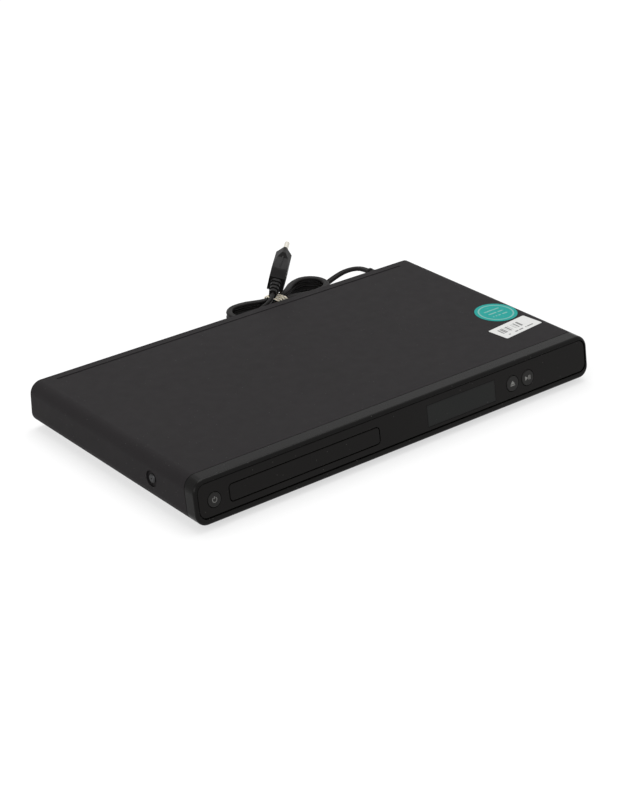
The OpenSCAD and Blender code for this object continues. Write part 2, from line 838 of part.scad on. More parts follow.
module disc_tray() {
  color(black) {
    difference() {
      block([tray_x - tray_half, tray_x + tray_half], [fy(tray_front), fy(tray_rear)],
        [fz(tray_low), fz(tray_top)]);
      post(tray_x, fy(disc_y), fz(tray_base), fz(tray_top) + over, disc_r);
      post(tray_x, fy(disc_y), fz(tray_base - small_disc_step), fz(tray_top), small_disc_r);
      post(tray_x, fy(disc_y), fz(tray_low) - over, fz(tray_top), slot_r);
      block([tray_x - slot_r, tray_x + slot_r], [fy(disc_y), fy(disc_y + slot_rear)],
        [fz(tray_low) - over, fz(tray_top) + over]);
      // channel that lets the clamp pass over the tray's rear part
      block([tray_x - slot_r, tray_x + slot_r], [fy(disc_y), fy(tray_rear) + over],
        [fz(tray_base), fz(tray_top) + over]);
      translate([tray_x, 0, fz(tray_low) - over])
        linear_extrude(tray_rim - tray_skin + over) tray_pocket2d();
    }
    translate([rack_line, 0, fz(rack_low)]) linear_extrude(rack_depth + tray_floor / 2) rack2d();
  }
}

function involute(a) = tan(a) * 180 / PI - a;
function flank(m, n, r) =
  90 / n - backlash / (2 * m * n) * 180 / PI + involute(pressure)
  - involute(r <= m * n / 2 * cos(pressure) ? 0 : acos(m * n / 2 * cos(pressure) / r));

module gear2d(m, n) {
  pitch_r = m * n / 2;
  radii = [pitch_r - ded_part * m, pitch_r - 0.35 * m, pitch_r, pitch_r + 0.45 * m,
    pitch_r + add_part * m];
  last = len(radii) - 1;
  polygon([for (i = [0:n - 1])
    for (j = [0:2 * last + 1])
      let (k = j <= last ? j : 2 * last + 1 - j, side = j <= last ? -1 : 1,
        turn = i * 360 / n + side * flank(m, n, radii[k]))
        radii[k] * [cos(turn), sin(turn)]]);
}

module drive_gear() {
  color(white_plastic) translate([drive_x, fy(gear_y), 0]) difference() {
    union() {
      translate([0, 0, fz(wheel_low)]) linear_extrude(wheel_t) gear2d(gear_m, big_teeth);
      translate([0, 0, fz(upper_low)]) linear_extrude(upper_t) gear2d(rack_m, rack_teeth);
      post(0, 0, fz(wheel_low), fz(upper_low + upper_t), rack_pitch_r - 1.5 * rack_m);
    }
    post(0, 0, 0, top_z, axle_r + shaft_gap);
  }
}

module pulley_gear() {
  low = wheel_low;
  color(white_plastic) translate([pulley_x, fy(gear_y), 0]) difference() {
    union() {
      translate([0, 0, fz(low)]) linear_extrude(wheel_t) rotate(180 / small_teeth)
        gear2d(gear_m, small_teeth);
      post(0, 0, fz(low + wheel_t), fz(pulley_low) + 0.2, 3.4);
      rotate_extrude() polygon([[0, fz(pulley_low)], [pulley_r, fz(pulley_low)],
        [pulley_r, fz(belt_h - belt_t / 2 - 0.3)], [pulley_r - belt_t, fz(belt_h - belt_t / 2)],
        [pulley_r - belt_t, fz(belt_h + belt_t / 2)], [pulley_r, fz(belt_h + belt_t / 2 + 0.3)],
        [pulley_r, fz(pulley_low + pulley_t)], [0, fz(pulley_low + pulley_t)]]);
    }
    post(0, 0, 0, top_z, axle_r + shaft_gap);
  }
}

module motor_pulley() {
  groove_r = motor_pulley_r - belt_t;
  shaft_r = 1;
  color([0.8, 0.7, 0.45]) translate([motor_x, fy(gear_y), 0]) {
    rotate_extrude() polygon([[0, fz(motor_top + slide_gap)],
      [motor_pulley_r, fz(motor_top + slide_gap)], [motor_pulley_r, fz(belt_h - belt_t / 2 - 0.3)],
      [groove_r, fz(belt_h - belt_t / 2)], [groove_r, fz(belt_h + belt_t / 2)],
      [motor_pulley_r, fz(belt_h + belt_t / 2 + 0.3)],
      [motor_pulley_r, fz(pulley_low + pulley_t)], [0, fz(pulley_low + pulley_t)]]);
    post(0, 0, fz(motor_top - 4), fz(motor_top + 1), shaft_r);
  }
}

module loading_motor() {
  shaft_r = 1;
  color(steel) translate([motor_x, fy(gear_y), 0]) difference() {
    union() {
      post(0, 0, fz(motor_low), fz(motor_top), motor_r);
      post(0, 0, fz(deck_top), fz(deck_top + 0.8), motor_r + 2);
    }
    post(0, 0, fz(motor_top - 4.3), fz(motor_top + over), shaft_r + shaft_gap);
  }
}

module belt_path2d(grow) {
  r1 = pulley_r - belt_t + belt_gap + grow;
  r2 = motor_pulley_r - belt_t + belt_gap + grow;
  tilt = asin((r1 - r2) / belt_span);
  arc = 90 + tilt;
  polygon(concat([for (i = [-12:12]) r1 * [-cos(arc * i / 12), sin(arc * i / 12)]],
    [for (i = [-6:6]) [belt_span, 0] + r2 * [cos((180 - arc) * i / 6), -sin((180 - arc) * i / 6)]]));
}

module drive_belt() {
  color(dark_rubber) translate([pulley_x, fy(gear_y), fz(belt_h - belt_t / 2 + 0.1)])
    linear_extrude(belt_t - 0.2) difference() {
      belt_path2d(belt_t - 0.2);
      belt_path2d(0);
    }
}

// ---- loader ----

module loader_frame() {
  ear_y = fy(hinge_y);
  color([0.16, 0.16, 0.17]) difference() {
    union() {
      translate([tray_x, 0, 0]) difference() {
        block([-loader_out, loader_out], [fy(loader_front), fy(loader_rear)],
          [fz(deck_low), fz(deck_top)]);
        block([-well_half, well_half], [fy(well_front), fy(well_rear)], [0, top_z]);
      }
      for (side = [-1, 1])
        translate([tray_x, 0, 0]) {
          mirror([side < 0 ? 1 : 0, 0, 0]) {
            block([loader_in, loader_out], [fy(loader_front), fy(loader_rear)],
              [fz(deck_low), fz(loader_top)]);
            block([tray_half - guide_w, loader_in + loader_wall / 2],
              [fy(loader_front), fy(loader_rear)],
              [fz(tray_low - slide_gap - ledge_t), fz(tray_low - slide_gap)]);
            block([tray_half - guide_w, loader_in + loader_wall / 2],
              [fy(loader_front), fy(loader_rear)],
              [fz(tray_top + slide_gap), fz(tray_top + slide_gap + ledge_t)]);
            post(boss_x, fy(disc_y), fz(loader_top - 7), fz(loader_top), boss_r);
            // ears that hold the hinge pins of the lift frame
            block(hinge_ear_x, [ear_y - 4.5, ear_y + 4.5], [fz(deck_low), fz(hinge_h + 3.4)]);
          }
        }
      translate([tray_x, 0, 0]) {
        block([-loader_out, loader_out], [fy(loader_rear) - 2.4, fy(loader_rear)],
          [fz(deck_low), fz(tray_low - 0.8)]);
        for (p = loader_legs)
          post(p[0], fy(p[1]), floor_top, fz(deck_top), 3.2);
        for (side = [-1, 1])
          post(side * 61, fy(20), floor_top, fz(deck_top), 3);
        // brackets with the pins that carry the cam slide
        for (x = guide_pins) {
          block([x - 4, x + 4], [fy(cam_y) - 3, fy(cam_y) - 0.6],
            [fz(deck_low), fz(guide_pin_h + 2.6)]);
          rod_y(x, fz(guide_pin_h), fy(cam_y) - 1, fy(cam_y + cam_t) + 0.8, guide_pin_r);
        }
      }
      post(drive_x, fy(gear_y), fz(deck_low), fz(upper_low + upper_t + 0.1), axle_r);
      post(drive_x, fy(gear_y), fz(deck_low), fz(wheel_low) - 0.1, axle_r + 1.5);
      post(pulley_x, fy(gear_y), fz(deck_low), fz(pulley_low + pulley_t), axle_r);
      post(pulley_x, fy(gear_y), fz(deck_low), fz(wheel_low) - 0.1, axle_r + 1.2);
    }
    post(motor_x, fy(gear_y), 0, fz(deck_top) + over, motor_r + 0.1);
    translate([tray_x, 0, 0]) {
      for (p = loader_legs)
        post(p[0], fy(p[1]), 0, fz(deck_top) + over, screw_hole_r);
      for (side = [-1, 1]) {
        post(side * boss_x, fy(disc_y), fz(loader_top - 5), fz(loader_top) + over, screw_hole_r);
        translate([side * hinge_ear_x[0] - side, ear_y, fz(hinge_h)]) rotate([0, 90 * side, 0])
          cylinder(h = hinge_ear_x[1] - hinge_ear_x[0] + 2, r = hinge_r + shaft_gap,
            $fn = $fn);
      }
    }
  }
}

module loader_screws() {
  color(steel) translate([tray_x, 0, 0]) {
    for (p = loader_legs)
      translate([p[0], fy(p[1]), fz(deck_top)]) pan_screw(deck_top - 0.2);
    for (side = [-1, 1])
      translate([side * boss_x, fy(disc_y), fz(loader_top + bridge_t)]) pan_screw(5);
  }
}

module clamp_bridge() {
  color(steel) translate([tray_x, fy(disc_y), fz(loader_top)]) difference() {
    union() {
      block([-boss_x - boss_r, boss_x + boss_r], [-bridge_half + 4, bridge_half - 4], [0, bridge_t]);
      post(0, 0, 0, bridge_t, bridge_half);
    }
    post(0, 0, -over, bridge_t + over, neck_r + slide_gap);
    for (side = [-1, 1])
      post(side * boss_x, 0, -over, bridge_t + over, screw_hole_r);
  }
}

module clamp_puck() {
  cup_r = 8;
  rim_top = puck_top + 1.2;
  color(black) translate([tray_x, fy(disc_y), 0]) difference() {
    union() {
      post(0, 0, fz(puck_low), fz(loader_top - 0.6), puck_r);
      post(0, 0, fz(puck_low), fz(rim_top), neck_r);
      post(0, 0, fz(puck_top), fz(rim_top), neck_r + 2.8);
    }
    post(0, 0, fz(puck_low) - over, fz(puck_low + puck_cup), cup_r);
    post(0, 0, fz(magnet_low), fz(rim_top) + over, magnet_r);
  }
}

module clamp_magnet() {
  color([0.3, 0.3, 0.32]) translate([tray_x, fy(disc_y), 0]) difference() {
    post(0, 0, fz(magnet_low), fz(magnet_low + magnet_t), magnet_r - shaft_gap);
    post(0, 0, 0, top_z, 2.2);
  }
}

module cam_slide() {
  drop = pin_h - pin_drop;
  slot = lift_pin_r + cam_play;
  guide = guide_pin_r + cam_play / 2;
  color(white_plastic) translate([tray_x, 0, 0]) difference() {
    block(cam_x, [fy(cam_y), fy(cam_y + cam_t)], [fz(cam_low), fz(cam_top)]);
    // sloping slots that lift the two pins of the lift frame
    for (x = lift_pins)
      along_y(fy(cam_y) - over, fy(cam_y + cam_t) + over) {
        translate([x, fz(pin_drop)]) circle(r = slot);
        translate([x - slot, 0]) square([2 * slot, fz(pin_drop)]);
        translate([x - cam_travel, fz(pin_h)]) circle(r = slot);
        translate([x, fz(pin_drop)]) rotate(180 - atan(drop / cam_travel))
          translate([0, -slot]) square([norm([drop, cam_travel]), 2 * slot]);
      }
    for (x = guide_pins)
      along_y(fy(cam_y) - over, fy(cam_y + cam_t) + over) {
        translate([x - cam_travel, fz(guide_pin_h) - guide]) square([cam_travel, 2 * guide]);
        for (end = [x - cam_travel, x])
          translate([end, fz(guide_pin_h)]) circle(r = guide);
      }
  }
}

// ---- traverse, drawn raised and shown lowered ----

module lowered() {
  translate([tray_x, fy(hinge_y), fz(hinge_h)]) rotate([lift_angle, 0, 0])
    translate([0, -fy(hinge_y), -fz(hinge_h)]) children();
}

module lift_frame() {
  boss_low = hinge_h - hinge_r - 0.2;
  color([0.12, 0.12, 0.13]) lowered() {
    difference() {
      block([-ring_half, ring_half], [fy(ring_front), fy(ring_rear)],
        [fz(ring_low), fz(ring_low + ring_t)]);
      block([-ring_in, ring_in], [fy(ring_front + bar_w), fy(hinge_y - 6)], [0, top_z]);
    }
    for (side = [-1, 1])
      mirror([side < 0 ? 1 : 0, 0, 0]) {
        block([ring_in, ring_half], [fy(hinge_y - 4), fy(hinge_y + 3)],
          [fz(boss_low), fz(ring_low + 1)]);
        translate([ring_half - 1, fy(hinge_y), fz(hinge_h)]) rotate([0, 90, 0])
          cylinder(h = hinge_ear_x[1] - ring_half + 0.5, r = hinge_r);
        for (d = damper_d)
          block([damper_x - 3, ring_in + 1], [fy(d - 4), fy(d + 4)],
            [fz(ring_low), fz(ring_low + tab_t)]);
      }
    for (x = lift_pins) {
      rod_y(x, fz(pin_h), fy(cam_y + 0.3), fy(ring_front) + 1, lift_pin_r);
      block([x - 2.4, x + 2.4], [fy(cam_y + cam_t + 1), fy(ring_front) + 1],
        [fz(pin_h - 1.4), fz(ring_low + ring_t)]);
    }
  }
}

module damper_place() {
  for (side = [-1, 1])
    for (d = damper_d)
      translate([side * damper_x, fy(d), 0]) children();
}

module dampers() {
  color(dark_rubber) lowered() damper_place()
    post(0, 0, fz(ring_low + tab_t), fz(traverse_low), 2.8);
}

module damper_screws() {
  color(steel) lowered() damper_place()
    translate([0, 0, fz(traverse_low + traverse_t)]) rotate_extrude()
      polygon([[0, 0], [2.2, 0], [2.2, 0.4], [1.6, 0.8], [0, 0.8]]);
}

module traverse_deck() {
  top = traverse_low + traverse_t;
  holder_low = rod_h - rod_r - 0.3;
  wall_low = screw_h - 3.8;
  color(steel) lowered() difference() {
    union() {
      block([-traverse_half, traverse_half], [fy(disc_y - 20), fy(disc_y + 84)],
        [fz(traverse_low), fz(top)]);
      for (side = [-1, 1]) {
        block([side * rod_x - 3, side * rod_x + 3], [fy(rod_front - 1), fy(rod_front + 3)],
          [fz(holder_low), fz(traverse_low + 0.5)]);
        block([side * rod_x - 3, side * rod_x + 3], [fy(rod_rear - 2.5), fy(rod_rear + 1)],
          [fz(holder_low), fz(traverse_low + 0.5)]);
      }
      block([rod_x + 2, screw_x + 3.4], [fy(rod_front - 1), fy(rod_front + 3)],
        [fz(screw_h - 1.8), fz(traverse_low + 0.5)]);
      block([rod_x + 2, screw_x + 4.4], [fy(rod_rear - 0.6), fy(rod_rear + 1)],
        [fz(wall_low), fz(traverse_low + 0.5)]);
    }
    post(0, fy(disc_y), 0, top_z, can_r + 0.5);
    block([-pickup_half - 0.7, pickup_half + 0.7], [fy(disc_y + 13), fy(rod_rear - 2.5)],
      [fz(traverse_low - 0.02), top_z]);
    block([screw_x - sled_motor_r - 0.4, screw_x + sled_motor_r + 0.4],
      [fy(sled_motor_d[0]), fy(disc_y + 84) + over], [0, top_z]);
    for (side = [-1, 1])
      rod_y(side * rod_x, fz(rod_h), fy(rod_front), fy(rod_rear), rod_r + shaft_gap);
    rod_y(screw_x, fz(screw_h), fy(rod_front), fy(rod_rear + 2), journal_r + shaft_gap);
  }
}

module guide_rods() {
  color(steel) lowered()
    for (side = [-1, 1])
      rod_y(side * rod_x, fz(rod_h), fy(rod_front + 0.1), fy(rod_rear - 0.1), rod_r);
}

module spindle_motor() {
  color(steel) lowered() translate([0, fy(disc_y), 0]) difference() {
    union() {
      post(0, 0, fz(seat_h - 8.2), fz(can_top), can_r);
      block([-13, 13], [-13, 13], [fz(traverse_low - 1.1), fz(traverse_low)]);
    }
    post(0, 0, fz(seat_h - 7.5), fz(can_top) + over, 1 + shaft_gap);
  }
}

module turntable() {
  color(black) lowered() translate([0, fy(disc_y), 0]) {
    post(0, 0, fz(can_top + 0.4), fz(seat_h), table_r);
    post(0, 0, fz(seat_h - 7), fz(seat_h), 1);
    rotate_extrude()
      polygon([[0, fz(seat_h - 0.5)], [hub_r, fz(seat_h - 0.5)], [hub_r, fz(seat_h + 0.6)],
        [hub_r - 1.4, fz(seat_h + 1.8)], [0, fz(seat_h + 1.8)]]);
  }
}

module pickup_body() {
  top = traverse_low + traverse_t + 0.1;
  low = rod_h - 1.9;
  lens_d = disc_y + read_in;
  bearing_x = (rod_x + pickup_half - 4) / 2;
  color([0.55, 0.56, 0.57]) lowered() difference() {
    union() {
      block([4 - rod_x, rod_x - 4], [fy(lens_d - 10), fy(lens_d + 10)], [fz(low), fz(top)]);
      for (side = [-1, 1])
        block([side * bearing_x - 4.1, side * bearing_x + 4.1],
          [fy(lens_d - 7), fy(lens_d + 9)], [fz(low), fz(top - 0.4)]);
      block([-11, 11], [fy(lens_d - 7.5), fy(lens_d + 7.5)], [fz(low), fz(top + 1.3)]);
      // half nut beside the lead screw
      block([pickup_half - 1, screw_x], [fy(lens_d - 5), fy(lens_d + 5)],
        [fz(screw_h - 2), fz(traverse_low - 0.5)]);
    }
    for (side = [-1, 1])
      rod_y(side * rod_x, fz(rod_h), fy(lens_d - 12), fy(lens_d + 12), rod_r + shaft_gap);
    rod_y(screw_x, fz(screw_h), fy(lens_d - 12), fy(lens_d + 12), screw_r + 0.3);
    // well in which the lens holder floats
    block([-7.4, 7.4], [fy(lens_d - 5), fy(lens_d + 5)], [fz(top - 0.6), top_z]);
  }
}

module pickup_lens() {
  top = traverse_low + traverse_t + 0.1;
  lens_d = disc_y + read_in;
  color([0.2, 0.3, 0.45]) lowered() translate([0, fy(lens_d), 0]) {
    block([-6.6, 6.6], [-4.3, 4.3], [fz(top - 0.6), fz(top + 1.2)]);
    rotate_extrude()
      polygon([[0, fz(top)], [3.2, fz(top)], [3.2, fz(top + 1.6)], [2.4, fz(top + 1.9)],
        [0, fz(top + 1.9)]]);
  }
}

module sled_motor() {
  color(steel) lowered() difference() {
    rod_y(screw_x, fz(screw_h), fy(sled_motor_d[0]), fy(sled_motor_d[1]), sled_motor_r);
    rod_y(screw_x, fz(screw_h), fy(sled_motor_d[0]) - over, fy(sled_motor_d[0] + 5),
      journal_r + shaft_gap);
  }
}

module lead_screw() {
  screw_front = rod_front + 3.3;
  screw_rear = rod_rear - 0.9;
  color(steel) lowered() {
    rod_y(screw_x, fz(screw_h), fy(screw_front), fy(screw_rear), screw_r);
    rod_y(screw_x, fz(screw_h), fy(rod_front + 0.2), fy(sled_motor_d[0] + 4.6), journal_r);
  }
}

// ---- boards and sockets ----

module board(span, depth, holes) {
  color(board_green) difference() {
    block(span, [fy(depth[0]), fy(depth[1])], [board_z, board_top]);
    for (p = holes)
      post(p[0], fy(p[1]), board_z - over, board_top + over, screw_hole_r);
  }
}

module main_board() { board(main_span, main_depth, main_posts); }
module power_board() { board(power_board_span, power_board_depth, power_posts); }

module board_screws() {
  color(steel)
    for (p = concat(main_posts, power_posts))
      translate([p[0], fy(p[1]), board_top]) pan_screw(5);
}

// A part of the given size on a board, by its centre and its size
module on_board(x, d, size) {
  translate([x - size[0] / 2, fy(d) - size[1] / 2, board_top]) cube(size);
}

module main_board_chips() {
  color([0.08, 0.08, 0.09]) {
    on_board(46, 142, [20, 20, 1.6]);
    on_board(20, 140, [11.8, 18.4, 1.2]);
    on_board(72, 132, [9, 12, 1.6]);
    on_board(76, 158, [8, 8, 1.5]);
    on_board(22, 168, [10, 7, 1.5]);
    on_board(56, 116, [30, 5, 5]);
    on_board(6, 116, [22, 5, 5]);
    on_board(95, 138, [5, 26, 6]);
    on_board(68, 178, [12, 4.4, 3.6]);
  }
  color([0.75, 0.75, 0.77])
    for (p = [[4, 150], [4, 160], [36, 176], [50, 170], [60, 158], [88, 120], [72, 146]])
      post(p[0], fy(p[1]), board_top, board_top + 6.4, 2.5);
}

// A strip of flat cable with bends at right angles, in the plane of Y and Z
module flat_cable(x, width, points) {
  for (i = [0:len(points) - 2])
    block([x - width / 2, x + width / 2],
      [min(points[i][0], points[i + 1][0]) - 0.2, max(points[i][0], points[i + 1][0]) + 0.2],
      [min(points[i][1], points[i + 1][1]) - 0.2, max(points[i][1], points[i + 1][1]) + 0.2]);
}

module ribbon_cables() {
  low = board_top + 5.2;
  high = low + 3;
  cable_d = 116;
  color([0.85, 0.86, 0.88]) {
    // from the key board to the main board
    flat_cable(56, 24, [[fy(16.7), fz(20)], [fy(cable_d), fz(20)], [fy(cable_d), low]]);
    // from the loader to the main board
    flat_cable(6, 16, [[fy(56), fz(3)], [fy(96), fz(3)], [fy(96), high], [fy(cable_d), high],
      [fy(cable_d), low]]);
    // from the power board to the main board
    block([96, 108], [fy(138), fy(148)], [board_top + 6.4, board_top + 6.8]);
  }
}

module phono_sockets() {
  back = board_end_y;
  color([0.1, 0.1, 0.11]) difference() {
    block([phono_x - phono_pitch / 2, phono_x + 1.5 * phono_pitch], [back - 10, back],
      [board_top, board_top + phono_rows[1] + 5.2]);
    phono_places() rod_y(0, 0, back - 8, back + over, phono_r);
  }
  color([0.8, 0.8, 0.78]) difference() {
    phono_places() rod_y(0, 0, back - 8, rear_y + socket_proud, phono_r);
    phono_places() rod_y(0, 0, rear_y - 2, rear_y + socket_proud + over, phono_bore_r);
  }
}

module phono_places() {
  for (column = [0, 1])
    for (row = phono_rows)
      translate([phono_x + column * phono_pitch, 0, board_top + row]) children();
}

module scart_socket() {
  back = board_end_y;
  depth = 12;
  shell = 1.4;
  color([0.09, 0.09, 0.1]) difference() {
    block([scart_x - scart_w / 2, scart_x + scart_w / 2], [back - depth, rear_y],
      [board_top, board_top + scart_h]);
    block([scart_x - scart_w / 2 + shell, scart_x + scart_w / 2 - shell],
      [rear_y - 8, rear_y + over], [board_top + shell, board_top + scart_h - shell]);
  }
  // contact block with two rows of chambers
  color([0.09, 0.09, 0.1]) difference() {
    block([scart_x - 19, scart_x + 19], [rear_y - 8.5, rear_y - 1.5],
      [board_top + 3.2, board_top + scart_h - 3.2]);
    for (i = [-4:4])
      for (z = [4.3, 7.9])
        block([scart_x + 4 * i - 0.8, scart_x + 4 * i + 0.8], [rear_y - 5, rear_y],
          [board_top + z, board_top + z + 1.8]);
  }
}

module hdmi_socket() {
  back = board_end_y;
  shell = 0.5;
  color([0.75, 0.75, 0.77]) difference() {
    block([hdmi_x - hdmi_w / 2, hdmi_x + hdmi_w / 2], [back - 9.5, rear_y],
      [board_top, board_top + hdmi_t]);
    block([hdmi_x - hdmi_w / 2 + shell, hdmi_x + hdmi_w / 2 - shell], [rear_y - 8, rear_y + over],
      [board_top + shell, board_top + hdmi_t - shell]);
  }
  color([0.1, 0.1, 0.1])
    block([hdmi_x - 5.6, hdmi_x + 5.6], [rear_y - 8.5, rear_y - 2], [board_top + 2.4, board_top + 3.4]);
}

module transformer() {
  color([0.8, 0.7, 0.25]) translate([135, fy(140), board_top]) {
    block([-12, 12], [-11, 11], [0, 3.4]);
    block([-9, 9], [-8, 8], [3.2, 14]);
    block([-12, 12], [-8.5, 8.5], [13.8, 17]);
    for (side = [-1, 1])
      block([side * 10.5 - 1.5, side * 10.5 + 1.5], [-6.5, 6.5], [3.2, 14]);
  }
}

module power_components() {
  color([0.12, 0.14, 0.2]) {
    post(158, fy(146), board_top, board_top + 18, 8);
    for (p = [[114, 122], [114, 134], [126, 116], [138, 118]])
      post(p[0], fy(p[1]), board_top, board_top + 13, 4.2);
    on_board(160, 176, [12, 8, 9]);
    on_board(134, 178, [17, 9, 12]);
    on_board(118, 174, [9, 11, 7]);
    on_board(108.6, 146, [4.2, 22, 6.4]);
    on_board(160, 122, [9, 16, 6]);
    on_board(148.5, 162, [9, 5, 6]);
  }
}

module heatsink() {
  color([0.7, 0.71, 0.72]) translate([128, fy(160), board_top]) {
    block([-15, 15], [-1, 1], [0, 16]);
    for (i = [-2:2])
      block([7 * i - 0.5, 7 * i + 0.5], [0.9, 4.4], [2, 16]);
  }
}

// ---- mains lead ----

module strain_relief() {
  groove = 0.7;
  end_r = cord_w / 2 + groove;
  first_r = relief_neck_r + 0.6;
  inner = rear_y - 2 * sheet_t;
  ribs = 5;
  step = (relief_l - 4) / ribs;
  color(dark_rubber) translate([exit_x, 0, exit_z]) {
    rod_y(0, 0, inner - 3.4, inner, relief_neck_r + 1.6);
    rod_y(0, 0, inner - 0.5, rear_y + 0.5, relief_neck_r);
    rod_y(0, 0, rear_y, rear_y + 2, relief_neck_r + 2.2);
    translate([0, rear_y, 0]) rotate([-90, 0, 0]) rotate_extrude()
      polygon(concat([[0, 1.5]], [for (i = [0:ribs - 1])
        let (r = first_r + (end_r - first_r) * i / (ribs - 1), y = 2 + step * i)
          each [[r, y], [r, y + step * 0.6], [r - groove, y + step * 0.6], [r - groove, y + step]]],
        [[end_r, relief_l - 2], [end_r, relief_l], [0, relief_l]]));
  }
}

function cross2(t) = cross(t, [0, 0, 1]);
function unit(v) = v / norm(v);
function heading(p, i) = unit(p[min(i + 1, len(p) - 1)] - p[max(i - 1, 0)]);
function path_length(p) = [for (i = [1:len(p) - 1]) norm(p[i] - p[i - 1])] * [for (i = [1:len(p) - 1]) 1];

// A flat lead along points: the section lies flat and turns by the angles given
module swept(points, section, turns = []) {
  n = len(section);
  last = len(points) - 1;
  rings = [for (i = [0:last])
    let (t = heading(points, i), u = unit(cross2(t)), v = cross(u, t),
      a = len(turns) > 0 ? turns[i] : 0)
      for (q = section)
        let (w = [q[0] * cos(a) - q[1] * sin(a), q[0] * sin(a) + q[1] * cos(a)])
          points[i] + w[0] * u + w[1] * v];
  sides = [for (i = [0:last - 1])
    for (j = [0:n - 1])
      let (a = i * n, b = a + n, k = (j + 1) % n)
        each [[a + j, a + k, b + k], [a + j, b + k, b + j]]];
  polyhedron(points = rings, faces = concat([[for (j = [0:n - 1]) n - 1 - j]], sides,
    [[for (j = [0:n - 1]) last * n + j]]));
}

flat_x = cord_w / 2;
flat_z = cord_t / 2;
lead_section = [[flat_x, 0.62 * flat_z], [0.66 * flat_x, flat_z], [-0.66 * flat_x, flat_z],
  [-flat_x, 0.62 * flat_z], [-flat_x, -0.62 * flat_z], [-0.66 * flat_x, -flat_z],
  [0.66 * flat_x, -flat_z], [flat_x, -0.62 * flat_z]];
hank_section = [[flat_x, 0], [0.54 * flat_x, flat_z], [-0.54 * flat_x, flat_z], [-flat_x, 0],
  [-0.54 * flat_x, -flat_z], [0.54 * flat_x, -flat_z]];

hank_x = 67.5;
hank_y = rear_y + 30;
hank_turn = 8;
fold_x = 36.5;
fold_r = 13;
waist_y = 2.95;
waist_flat = 3;
hank_start = 0.52;
level_low = 3.1;
level_step = cord_t + 0.5;
// A point of the hank from its own middle, x along it, and its level
function on_hank(x, y, level) = [hank_x + x * cos(hank_turn) - y * sin(hank_turn),
  hank_y + x * sin(hank_turn) + y * cos(hank_turn), level_low + level * level_step];

// The lead's way from the strain relief to the first fold, behind the casing
lead_path = concat([for (p = [[160, 28, 20], [160, 33, 19.9], [159.2, 39, 19.3], [156.2, 44.8, 17.8],
  [150.6, 49.2, 15.4], [143.2, 51.2, 12.3], [135, 51.7, 9.1], [126.8, 51.3, 6.4],
  [118.4, 50.3, 4.4], [110, 49.1, 3.3]])
  [p[0] - 160 + exit_x, p[1] + rear_y, p[2] - 20 + (p[2] > 19.5 ? exit_z : 20)]],
  [on_hank(fold_x + hank_start + 0.08, fold_r, 0)]);

module cord_lead() {
  color(dark_rubber) swept(lead_path, lead_section);
}

s_run = fold_x - waist_flat;
s_rise = fold_r - waist_y;
s_r = (s_run * s_run + s_rise * s_rise) / (4 * s_rise);
s_turn = 2 * atan(s_rise / s_run);

// Offset from the fold's side towards the waist at a part q of a two-arc bend
function s_point(q) = q < 0.5
  ? [s_r * sin(2 * q * s_turn), s_r * (1 - cos(2 * q * s_turn))]
  : [s_run - s_r * sin(2 * (1 - q) * s_turn), s_rise - s_r * (1 - cos(2 * (1 - q) * s_turn))];
run_half = concat([for (q = [0, 1 / 3, 2 / 3, 1]) s_point(q)]);
// A run from one fold to the other, x from +fold_x to -fold_x, y from the middle
run_points = concat([for (p = run_half) [fold_x - p[0], fold_r - p[1]]],
  [for (i = [3:-1:0]) [run_half[i][0] - fold_x, fold_r - run_half[i][1]]]);

function loop_points(level) = concat(
  [for (p = run_points) [p[0], p[1], level]],
  [for (a = [36:36:144]) [-fold_x - fold_r * sin(a), fold_r * cos(a), level]],
  [for (p = run_points) [-p[0], -p[1], level + (fold_x + p[0] < 0 ? 0 : (fold_x - p[0]) / (2 * fold_x))]],
  [for (a = [36:36:144]) [fold_x + fold_r * sin(a), -fold_r * cos(a), level + 1]]);
last_level = hank_loops - 1;
hank_flat = concat([[fold_x + hank_start, fold_r, 0]],
  [for (level = [0:last_level - 1]) each loop_points(level)],
  [for (p = run_points) [p[0], p[1], last_level]],
  [for (a = [30:30:90]) [-fold_x - fold_r * sin(a), fold_r * cos(a), last_level]]);
hank_end = on_hank(-fold_x - fold_r, 0, last_level);
// The plug lies on edge over the hank, its pins away from the casing
plug_at = [49.9, rear_y + 14.8, hank_end[2] + 13.1];
plug_head = 42;
plug_rise = 10.5;
plug_turn = 77;
plug_dir = [cos(plug_rise) * cos(plug_head), cos(plug_rise) * sin(plug_head), sin(plug_rise)];
rise_a = 12;
rise_b = 10;
function bezier(a, b, c, d, t) = pow(1 - t, 3) * a + 3 * t * pow(1 - t, 2) * b
  + 3 * t * t * (1 - t) * c + pow(t, 3) * d;
rise_steps = 9;
rise_path = [for (i = [1:rise_steps])
  bezier(hank_end, on_hank(-fold_x - fold_r, -rise_a, last_level),
    plug_at - (rise_b + cord_w) * plug_dir, plug_at - cord_w * plug_dir, i / rise_steps)];
hank_path = concat([for (p = hank_flat) on_hank(p[0], p[1], p[2])], rise_path, [plug_at]);
hank_turns = [for (i = [0:len(hank_path) - 1])
  plug_turn * max(0, i - len(hank_flat) - 1) / rise_steps];

module cord_hank() {
  color(dark_rubber) swept(hank_path, hank_section, hank_turns);
  echo(lead_and_hank_length = path_length(lead_path) + path_length(hank_path));
}

module plug_frame() {
  translate(plug_at) rotate([0, 90 - plug_rise, plug_head]) rotate([0, 0, -plug_turn]) children();
}

